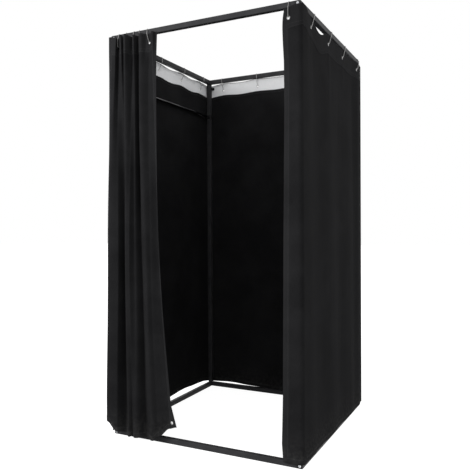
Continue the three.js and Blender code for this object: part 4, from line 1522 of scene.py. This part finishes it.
@dataclass
class DoorCurtain:
    """The curtain of the doorway, gathered at the left on five hooks."""

    widths: tuple[float, float, float] = (282, 296, 394)
    left_overhangs: tuple[float, float, float] = (0, 6, 27)
    back_offsets: tuple[float, float, float] = (6, 8, 20.5)
    fold_depths: tuple[float, float, float] = (62, 62, 52)
    waist_height: float = 1130
    foot_height: float = 14
    foot_rise: float = 78
    crest_rise: float = 5
    valley_power: float = 1.25
    corner_flare: float = 20
    corner_flare_height: float = 110
    relax_share: float = 0.1
    spare_eyelet_height: float = 119
    hook_lines: tuple[int, ...] = (2, 4, 6, 8, 10)
    hook_leans: tuple[float, ...] = (0, 0, 0, 0, 20)
    spare_line: int = 11
    fold_steps: int = 13
    seam_clearance: float = 10.5
    rim_clearance: float = 8.5
    crease_depth: float = 1.3
    seed: float = 31.0
    crease_growth: tuple[float, float] = (40, 160)
    crush_growth: tuple[float, float] = (1500, 400)
    least_crushed: float = 0.4
    header_turn: tuple[float, float] = (0.4, 0.48)
    sway_depth: float = 2.4
    sway_lengths: tuple[float, float] = (1300, 260)
    sway_fade: float = 300.0
    blend_margin: float = 0.5

    @property
    def waist_share(self) -> float:
        """Share of the drop at the waist."""
        return BOOTH.drop_share(self.waist_height, self.foot_height)

    def down_drop(self, levels, share) -> np.ndarray:
        """A value that runs smoothly through its header, waist and foot values."""
        header, waist, foot = levels
        from_waist = (share - self.waist_share) / (1 - self.waist_share)
        from_header = share / self.waist_share
        return (
            header * (1 - from_header) * (1 - share)
            + waist * from_header * (1 - from_waist)
            + foot * from_waist * share
        )

    def fold(self, line: FoldLine, share) -> tuple[np.ndarray, np.ndarray]:
        """Where a fold line stands across and along the booth, at shares of the drop."""
        left = -BOOTH.half_x - self.down_drop(self.left_overhangs, share)
        across = self.down_drop(self.widths, share) * self.down_drop(line.across, share)
        depth = self.down_drop(self.fold_depths, share) * self.down_drop(line.forward, share)
        offset = self.down_drop(self.back_offsets, share)
        return left + across, -(BOOTH.rail_y + offset + depth)

    def stretch(self, index: int, part: np.ndarray, share: np.ndarray) -> np.ndarray:
        """Points between two fold lines.

        Args:
            index: the first of the two lines.
            part: shares of the way to the second, one for each column.
            share: shares of the drop, one for each row.

        Returns:
            A grid of booth points.
        """
        start, end = DOOR_LINES[index], DOOR_LINES[index + 1]
        share = share[:, None]
        forward_going = start.forward[0] < end.forward[0]
        from_back = part if forward_going else 1 - part
        at_header = grown(from_back, *self.header_turn)
        lower = np.sin(np.pi * from_back / 2) ** self.valley_power
        towards = mix(at_header, lower, grown(share, 0, self.relax_share))
        turn = towards if forward_going else 1 - towards
        start_x, start_y = self.fold(start, share)
        end_x, end_y = self.fold(end, share)
        top = BOOTH.cloth_top + self.crest_rise * mix(start.crest, end.crest, turn)
        foot = self.foot_height + self.foot_rise * mix(start.rise, end.rise, ease(part))
        x, y = mix(start_x, end_x, part), mix(start_y, end_y, turn)
        return grid(x, y, mix(top, foot, share))

    def plain(self, share: np.ndarray) -> np.ndarray:
        """The whole gathered cloth before its fine creases."""
        steps = np.arange(1, self.fold_steps + 1) / self.fold_steps
        parts = [self.stretch(0, np.array([0.0]), share)]
        parts += [self.stretch(i, steps, share) for i in range(len(DOOR_LINES) - 1)]
        return np.concatenate(parts, axis=1)

    def column(self, line: int) -> int:
        """The column that follows a fold line."""
        return line * self.fold_steps

    def eye(self, line: int) -> np.ndarray:
        """Middle of the eyelet on a fold line."""
        share = BOOTH.drop_share(BOOTH.eyelet_height, self.foot_height)
        x, y = self.fold(DOOR_LINES[line], share)
        return np.array((float(x), float(y), BOOTH.eyelet_height))

    def hang(self) -> Cloth:
        """The door curtain's cloth as it hangs, gathered."""
        down = SEWING.row_drops(BOOTH.cloth_top - self.foot_height)
        plain = self.plain(down / down[-1])
        along = added_up(np.linalg.norm(np.diff(plain, axis=1), axis=2).mean(axis=0))
        drops = down[:, None]
        above_foot = down[-1] - drops
        calm = eyelet_calm(plain, [self.eye(line) for line in self.hook_lines])
        free = grown(drops, *self.crease_growth) * calm
        crushed = mix(self.least_crushed, 1, grown(drops, *self.crush_growth))
        creases = creased(DOOR_CREASES, along, drops, self.seed)
        creases = creases + crushed * DOOR_CRUSHES.depth(along, drops, self.seed)
        lift = self.crease_depth * free * creases
        middle = plain + grid_facing(plain, -1) * lift[..., None]
        turns = drops / self.sway_lengths[0] + along / self.sway_lengths[1]
        sway = self.sway_depth * np.sin(2 * np.pi * turns) * free
        middle[..., 0] += sway * grown(above_foot, 0, self.sway_fade)
        from_edge = (along[-1] - along) / (along[-1] - along[self.column(self.spare_line)])
        flare = clamp_share(1 - above_foot / self.corner_flare_height)
        middle[..., 0] += self.corner_flare * flare * ease(clamp_share(1 - from_edge))
        return Cloth.sewn(middle, along, down, -1)

    def seams(self, cloth: Cloth) -> list[int]:
        """The columns at which one moving part of the cloth ends and the next begins."""
        row = nearest(cloth.flat[:, 0, 1], BOOTH.cloth_top - BOOTH.eyelet_height)
        found = []
        for line in self.hook_lines[1:]:
            limit = self.eye(line)[0] - self.seam_clearance
            found.append(int(np.nonzero(cloth.middle[row, :, 0] <= limit)[0].max()))
        return found

    def bodies(self) -> list[str]:
        """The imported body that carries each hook."""
        return ["frame", *[f"door_section_{i}" for i in range(2, len(self.hook_lines) + 1)]]

    def settle(self, piece: bpy.types.Object, index: int, cloth: Cloth, seams: list[int]) -> None:
        """Ties a piece of the last part to the body that carries it, and bakes the place of any
        other part's piece into its mesh; for those, the span between their eyelets is worked out
        and not used.

        Args:
            piece: the cloth, tape or stitches of one part.
            index: the part's number, from 0.
            cloth: the whole cloth.
            seams: the columns between the parts.
        """
        bodies = self.bodies()
        if index == len(bodies) - 1:
            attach(piece, bodies[index])
            return
        start = self.eye(self.hook_lines[index])[0] + self.rim_clearance
        if index > 0:
            seam = float(cloth.middle[:, seams[index - 1], 0].max())
            start = max(start, seam + self.blend_margin)
        end = self.eye(self.hook_lines[index + 1])[0] - self.rim_clearance
        seam = float(cloth.middle[:, seams[index], 0].min())
        end = min(end, seam - self.blend_margin)
        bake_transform(piece)

    def spare_eye(self, cloth: Cloth) -> tuple[np.ndarray, np.ndarray]:
        """Middle and direction of the eyelet with no hook, near the lower corner."""
        column = self.column(self.spare_line) + self.fold_steps // 2
        row = nearest(-cloth.middle[:, column, 2], -self.spare_eyelet_height)
        point, facing = cloth.middle[row, column], cloth.facing(cloth.middle)[row, column]
        return point, facing

    def dress(self, finishes: "Finishes") -> None:
        """Makes the parts of the cloth, with their tape, stitches, eyelets and hooks."""
        cloth = self.hang()
        seams = self.seams(cloth)
        bounds = [0, *seams, cloth.middle.shape[1] - 1]
        point, facing = self.spare_eye(cloth)
        for index, body in enumerate(self.bodies()):
            number = index + 1
            spare = ([point], [tuple(facing)]) if number == len(self.bodies()) else ([], [])
            columns = slice(bounds[index], bounds[index + 1] + 1)
            eye = self.eye(self.hook_lines[index])
            piece, strip, thread, rings = sew_panel(
                f"door_{{}}_{number}", cloth, [eye], [FRONT], finishes, columns, spare
            )
            lean = self.hook_leans[index]
            rail = (float(eye[0]) - lean, -BOOTH.rail_y, 0.0)
            wire = WIRE_HOOKS.line(rail, RIGHT, FRONT, -BOOTH.rail_y - float(eye[1]), lean)
            hook = WIRE_HOOKS.bend(f"door_wire_hook_{number}", [wire], finishes.metal)
            for soft in (piece, strip, thread):
                self.settle(soft, index, cloth, seams)
            carry(piece, nodes=(f"door_curtain_{number}",))
            carry(strip)
            carry(thread)
            carry(rings, body)
            carry(hook, body, (f"door_hook_{number}",))
            sewn_on = [strip, thread, rings]
            if spare[0]:
                sewn_on.append(EYELETS.press("door_spare_eyelet", *spare, finishes.metal))
                carry(sewn_on[-1], body)
            flat = cloth.flat_size(columns)
            log.info("%s: %.3f m of cloth, %d faces", piece.name, flat[0], len(piece.data.polygons))


# Frame and fastenings


@dataclass
class Finishes:
    """The materials of the booth."""

    cloth: bpy.types.Material
    tape: bpy.types.Material
    thread: bpy.types.Material
    tube: bpy.types.Material
    gloss: bpy.types.Material
    plastic: bpy.types.Material
    metal: bpy.types.Material
    screw: bpy.types.Material

    @classmethod
    def mixed(cls) -> "Finishes":
        """All the finishes as materials."""
        kinds = (CURTAIN_CLOTH, HEADER_TAPE, THREAD, STEEL_TUBE, GLOSS_TUBE)
        kinds += (BLACK_PLASTIC, NICKEL_WIRE, ZINC_SCREW)
        return cls(*[kind.material() for kind in kinds])


@dataclass
class TubeFrame:
    """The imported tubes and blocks, which stay and get their finishes."""

    plastic_words: tuple[str, ...] = ("corner_block_", "collar", "clip")
    gloss_words: tuple[str, ...] = ("garment_rail",)
    tube_words: tuple[str, ...] = ("post_", "_rail_")

    def finish_of(self, name: str, finishes: Finishes) -> bpy.types.Material | None:
        """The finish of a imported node, or None where the node gets none here."""
        for words, finish in (
            (self.plastic_words, finishes.plastic),
            (self.gloss_words, finishes.gloss),
            (self.tube_words, finishes.tube),
        ):
            if any(word in name for word in words):
                return finish
        return None

    def dress(self, finishes: Finishes) -> int:
        """Gives each packed tube and block its finish, and counts them."""
        count = 0
        for name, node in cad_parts.items():
            finish = self.finish_of(name, finishes)
            if finish is None:
                continue
            for holder in node.material_slots:
                holder.material = finish
            count += 1
        return count


@dataclass
class CornerScrews:
    """Domed screws with a six-sided socket, one on the front or back of each corner block."""

    head_radius: float = 6.5
    head_height: float = 3.4
    socket_radius: float = 2.5
    socket_depth: float = 1.8
    shank_radius: float = 2.5
    shank_length: float = 58.0
    sides: int = 36

    def profile(self) -> list[tuple[float, float, bool]]:
        """Radius, place along the screw, and whether the ring has six sides, ring by ring."""
        top, head = -self.head_height, self.head_radius
        socket, shank = self.socket_radius, self.shank_radius
        return [
            (socket, top + self.socket_depth, True),
            (socket, top + 0.15, True),
            (socket + 0.35, top, True),
            (head * 0.55, top, False),
            (head * 0.72, top + 0.35, False),
            (head * 0.87, top + 1.0, False),
            (head * 0.97, top + 1.9, False),
            (head, top + 2.5, False),
            (head, -0.25, False),
            (head - 0.25, 0.0, False),
            (shank, 0.0, False),
            (shank, self.shank_length, False),
        ]

    def ring(self, radius: float, place: float, six_sided: bool) -> list[tuple]:
        """Points of one ring about the screw's own line."""
        points, sixth = [], math.pi / 3
        for step in range(self.sides):
            angle = 2 * math.pi * step / self.sides
            reach = radius
            if six_sided:
                reach = radius * math.cos(sixth / 2) / math.cos(angle % sixth - sixth / 2)
            points.append((reach * math.cos(angle), place, reach * math.sin(angle)))
        return points

    def screw_mesh(self) -> bpy.types.Mesh:
        """One screw at the origin, its head towards the front."""
        rings = [self.ring(*step) for step in self.profile()]
        work = bmesh.new()
        corners = [[work.verts.new(Vector(p) * METRE) for p in ring] for ring in rings]
        for ring, following in zip(corners, corners[1:]):
            for i in range(self.sides):
                j = (i + 1) % self.sides
                work.faces.new((ring[i], ring[j], following[j], following[i]))
        work.faces.new(corners[0])
        work.faces.new(reversed(corners[-1]))
        bmesh.ops.recalc_face_normals(work, faces=work.faces)
        mesh = bpy.data.meshes.new("screw")
        work.to_mesh(mesh)
        work.free()
        return mesh

    def tree(self) -> bpy.types.NodeTree:
        """A tree that sets a screw at each corner of the frame, its head outwards."""
        sockets = {"Span": "Vector", "Centre": "Vector", "Material": "Material"}
        graph, given = node_group("corner_screws", sockets)
        corners = graph.add("GeometryNodeMeshCube", {"Size": given["Span"]})
        position = graph.add("GeometryNodeInputPosition")
        depth = graph.add("ShaderNodeSeparateXYZ", {0: position}).outputs["Y"]
        behind = graph.maths("GREATER_THAN", depth, 0.0)
        about = graph.add("ShaderNodeCombineXYZ", {"Z": graph.maths("MULTIPLY", behind, math.pi)})
        turn = graph.add("FunctionNodeEulerToRotation", {0: about})
        screws = graph.add(
            "GeometryNodeInstanceOnPoints",
            {"Points": corners, "Instance": given["Geometry"], "Rotation": turn},
        )
        moved = graph.add(
            "GeometryNodeTransform", {"Geometry": screws, "Translation": given["Centre"]}
        )
        return close_group(graph, moved, given["Material"])

    def dress(self, finishes: Finishes) -> bpy.types.Object:
        """Makes the eight screws as one piece."""
        span = (
            BOOTH.width - BOOTH.tube_side,
            BOOTH.depth + 2 * BOOTH.fit,
            BOOTH.height - BOOTH.tube_side,
        )
        values = {
            "Span": [length * METRE for length in span],
            "Centre": [float(c) for c in placed((0, 0, BOOTH.height / 2))],
            "Material": finishes.screw,
        }
        piece = run_group(self.tree(), self.screw_mesh(), "corner_screws", values)
        nodes = tuple(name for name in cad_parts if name.startswith("corner_screw_"))
        return carry(piece, "frame", nodes)


STITCHES = Stitches()
EYELETS = Eyelets()
WIRE_HOOKS = WireHooks()

WALLS = (
    WallCurtain(
        "left",
        BACK,
        LEFT,
        BOOTH.half_y,
        BOOTH.half_x,
        hook_shares=(-0.91, -0.658, -0.17, 0.318, 0.786),
        sag_shares=(0.11, 0.11, 0.29, 0.3, 0.29, 0.18),
        tuck=7,
        foot_shares=(0, 0.3, 0.45, 0.55, 0.62, 0.69, 0.78, 0.85, 0.91, 0.96, 1),
        foot_heights=(16, 27, 38, 47, 53, 51, 45, 45, 41, 32, 24),
        seed=2.0,
    ),
    WallCurtain(
        "back",
        RIGHT,
        BACK,
        BOOTH.half_x,
        BOOTH.half_y,
        hook_shares=(-0.776, -0.284, 0.208, 0.7),
        sag_shares=(0.33, 0.2, 0.11, 0.25, 0.22),
        tuck=13,
        foot_shares=(0, 0.04, 0.12, 0.19, 0.28, 0.43, 0.6, 1),
        foot_heights=(24, 25, 30, 31, 26, 17, 15, 15),
        seed=12.0,
    ),
    CornerCurtain(
        "right",
        BACK,
        RIGHT,
        BOOTH.half_y,
        BOOTH.half_x,
        hook_shares=(-0.62, -0.088, 0.408, 0.93),
        sag_shares=(0.04, 1, 0.16, 0.14, 0.11),
        tuck=13,
        foot_shares=(0, 1),
        foot_heights=(19, 15),
        seed=22.0,
        hook_lean=-46.0,
        turn=-1,
    ),
)


# Studio

WHITE = (1.0, 1.0, 1.0, 1.0)


@dataclass(frozen=True)
class Lamp:
    """A soft square lamp that points at a place, in metres and watts."""

    name: str
    place: tuple[float, float, float]
    aim: tuple[float, float, float]
    side: float
    watts: float
    mirrored: bool = False

    def build(self) -> None:
        """Sets the lamp up. It shows in glossy surfaces only where it is mirrored."""
        data = bpy.data.lights.new(self.name, "AREA")
        data.shape = "SQUARE"
        data.size = self.side
        data.energy = self.watts
        made = bpy.data.objects.new(self.name, data)
        turn = (Vector(self.aim) - Vector(self.place)).to_track_quat("-Z", "Y")
        made.matrix_world = Matrix.Translation(Vector(self.place)) @ turn.to_matrix().to_4x4()
        made.visible_camera = False
        made.visible_glossy = self.mirrored
        bpy.context.scene.collection.objects.link(made)


LAMPS = (
    Lamp("key_lamp", (-1.4, -2.7, 2.1), (-0.2, -0.4, 1.3), 0.8, 73.0),
    Lamp("side_lamp", (3.4, -3.0, 1.9), (0.0, 0.0, 1.3), 0.9, 6.0, mirrored=True),
)


@dataclass(frozen=True)
class Studio:
    """Plain white floor and surroundings, soft lamps, and the camera of the photograph."""

    camera_place: tuple[float, float, float] = (1320.1, -2790.0, 1032.5)
    yaw: float = -0.4604
    pitch: float = -0.0117
    roll: float = 0.0058
    focal_pixels: float = 568.21
    frame_pixels: float = 470.0
    sensor: float = 36.0
    floor_colour: float = 0.3
    floor_glow: float = 0.94
    ambient: float = 1.3
    floor_reach: float = 30.0
    floor_drop: float = 0.0004

    def camera(self) -> None:
        """The camera, where the photograph was taken from."""
        level = math.cos(self.pitch)
        ahead = Vector(
            (math.sin(self.yaw) * level, math.cos(self.yaw) * level, math.sin(self.pitch))
        )
        right = ahead.cross(Vector((0, 0, 1))).normalized()
        down = ahead.cross(right).normalized()
        right = math.cos(self.roll) * right + math.sin(self.roll) * down
        up = right.cross(ahead)
        data = bpy.data.cameras.new("photo_camera")
        data.sensor_fit = "HORIZONTAL"
        data.sensor_width = self.sensor
        data.lens = self.focal_pixels * self.sensor / self.frame_pixels
        data.clip_end = 100
        made = bpy.data.objects.new("photo_camera", data)
        turn = Matrix((right, up, -ahead)).transposed().to_4x4()
        made.matrix_world = Matrix.Translation(Vector(placed(self.camera_place))) @ turn
        bpy.context.scene.collection.objects.link(made)
        bpy.context.scene.camera = made

    def seen_plainly(self, graph: Graph) -> bpy.types.NodeSocket:
        """1 for rays from the camera, a mirror surface or glass, and 0 for the rest."""
        path = graph.add("ShaderNodeLightPath").outputs
        rays = [path[f"Is {kind} Ray"] for kind in ("Camera", "Glossy", "Transmission")]
        return graph.maths("MINIMUM", graph.total(*rays), 1.0)

    def surroundings(self) -> None:
        """A white world to look at, and a softer one to light with."""
        world = bpy.data.worlds.new("studio")
        bpy.context.scene.world = world
        graph = cleared_graph(world)
        lit = graph.add("ShaderNodeBackground", {"Color": WHITE, "Strength": self.ambient})
        shown = graph.add("ShaderNodeBackground", {"Color": WHITE, "Strength": 1.0})
        either = graph.add("ShaderNodeMixShader", {0: self.seen_plainly(graph), 1: lit, 2: shown})
        graph.add("ShaderNodeOutputWorld", {"Surface": either})

    def floor(self) -> None:
        """A pale floor that looks white where nothing shades it."""
        mesh = bpy.data.meshes.new("studio_floor")
        far, low = self.floor_reach, -self.floor_drop
        corners = [(-far, -far, low), (far, -far, low), (far, far, low), (-far, far, low)]
        mesh.from_pydata(corners, [], [(0, 1, 2, 3)])
        made = link("studio_floor", mesh)
        material = bpy.data.materials.new("studio_floor")
        graph = cleared_graph(material)
        matte = graph.add("ShaderNodeBsdfDiffuse", {"Color": (*(self.floor_colour,) * 3, 1.0)})
        glow = graph.maths("MULTIPLY", self.seen_plainly(graph), self.floor_glow)
        light = graph.add("ShaderNodeEmission", {"Color": WHITE, "Strength": glow})
        both = graph.add("ShaderNodeAddShader", {0: matte, 1: light})
        graph.add("ShaderNodeOutputMaterial", {"Surface": both})
        set_finish(made, material)

    def build(self) -> None:
        """Sets up the camera, the surroundings, the floor and the lamps."""
        self.camera()
        self.surroundings()
        self.floor()
        for lamp in LAMPS:
            lamp.build()
        bpy.context.scene.view_settings.view_transform = "Standard"


def hang_wall_hooks(finishes: Finishes) -> None:
    """Makes the hooks of the wall curtains, one piece for each wall."""
    for wall in WALLS:
        piece = WIRE_HOOKS.bend(f"{wall.name}_hooks", wall.hook_lines(), finishes.metal)
        carry(piece, "frame", tuple(wall.nodes()))
        log.info("%s: %d hooks", piece.name, len(wall.nodes()))


def main() -> None:
    """Builds the booth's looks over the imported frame."""
    logging.basicConfig(level=logging.INFO, format="%(name)s: %(message)s")
    finishes = Finishes.mixed()
    Studio().build()
    log.info("frame: %d packed nodes finished", TubeFrame().dress(finishes))
    log.info("%s: made", CornerScrews().dress(finishes).name)
    hang_wall_hooks(finishes)
    for wall in WALLS:
        wall.dress(finishes)
    DoorCurtain().dress(finishes)


if __name__ == "__main__":
    main()
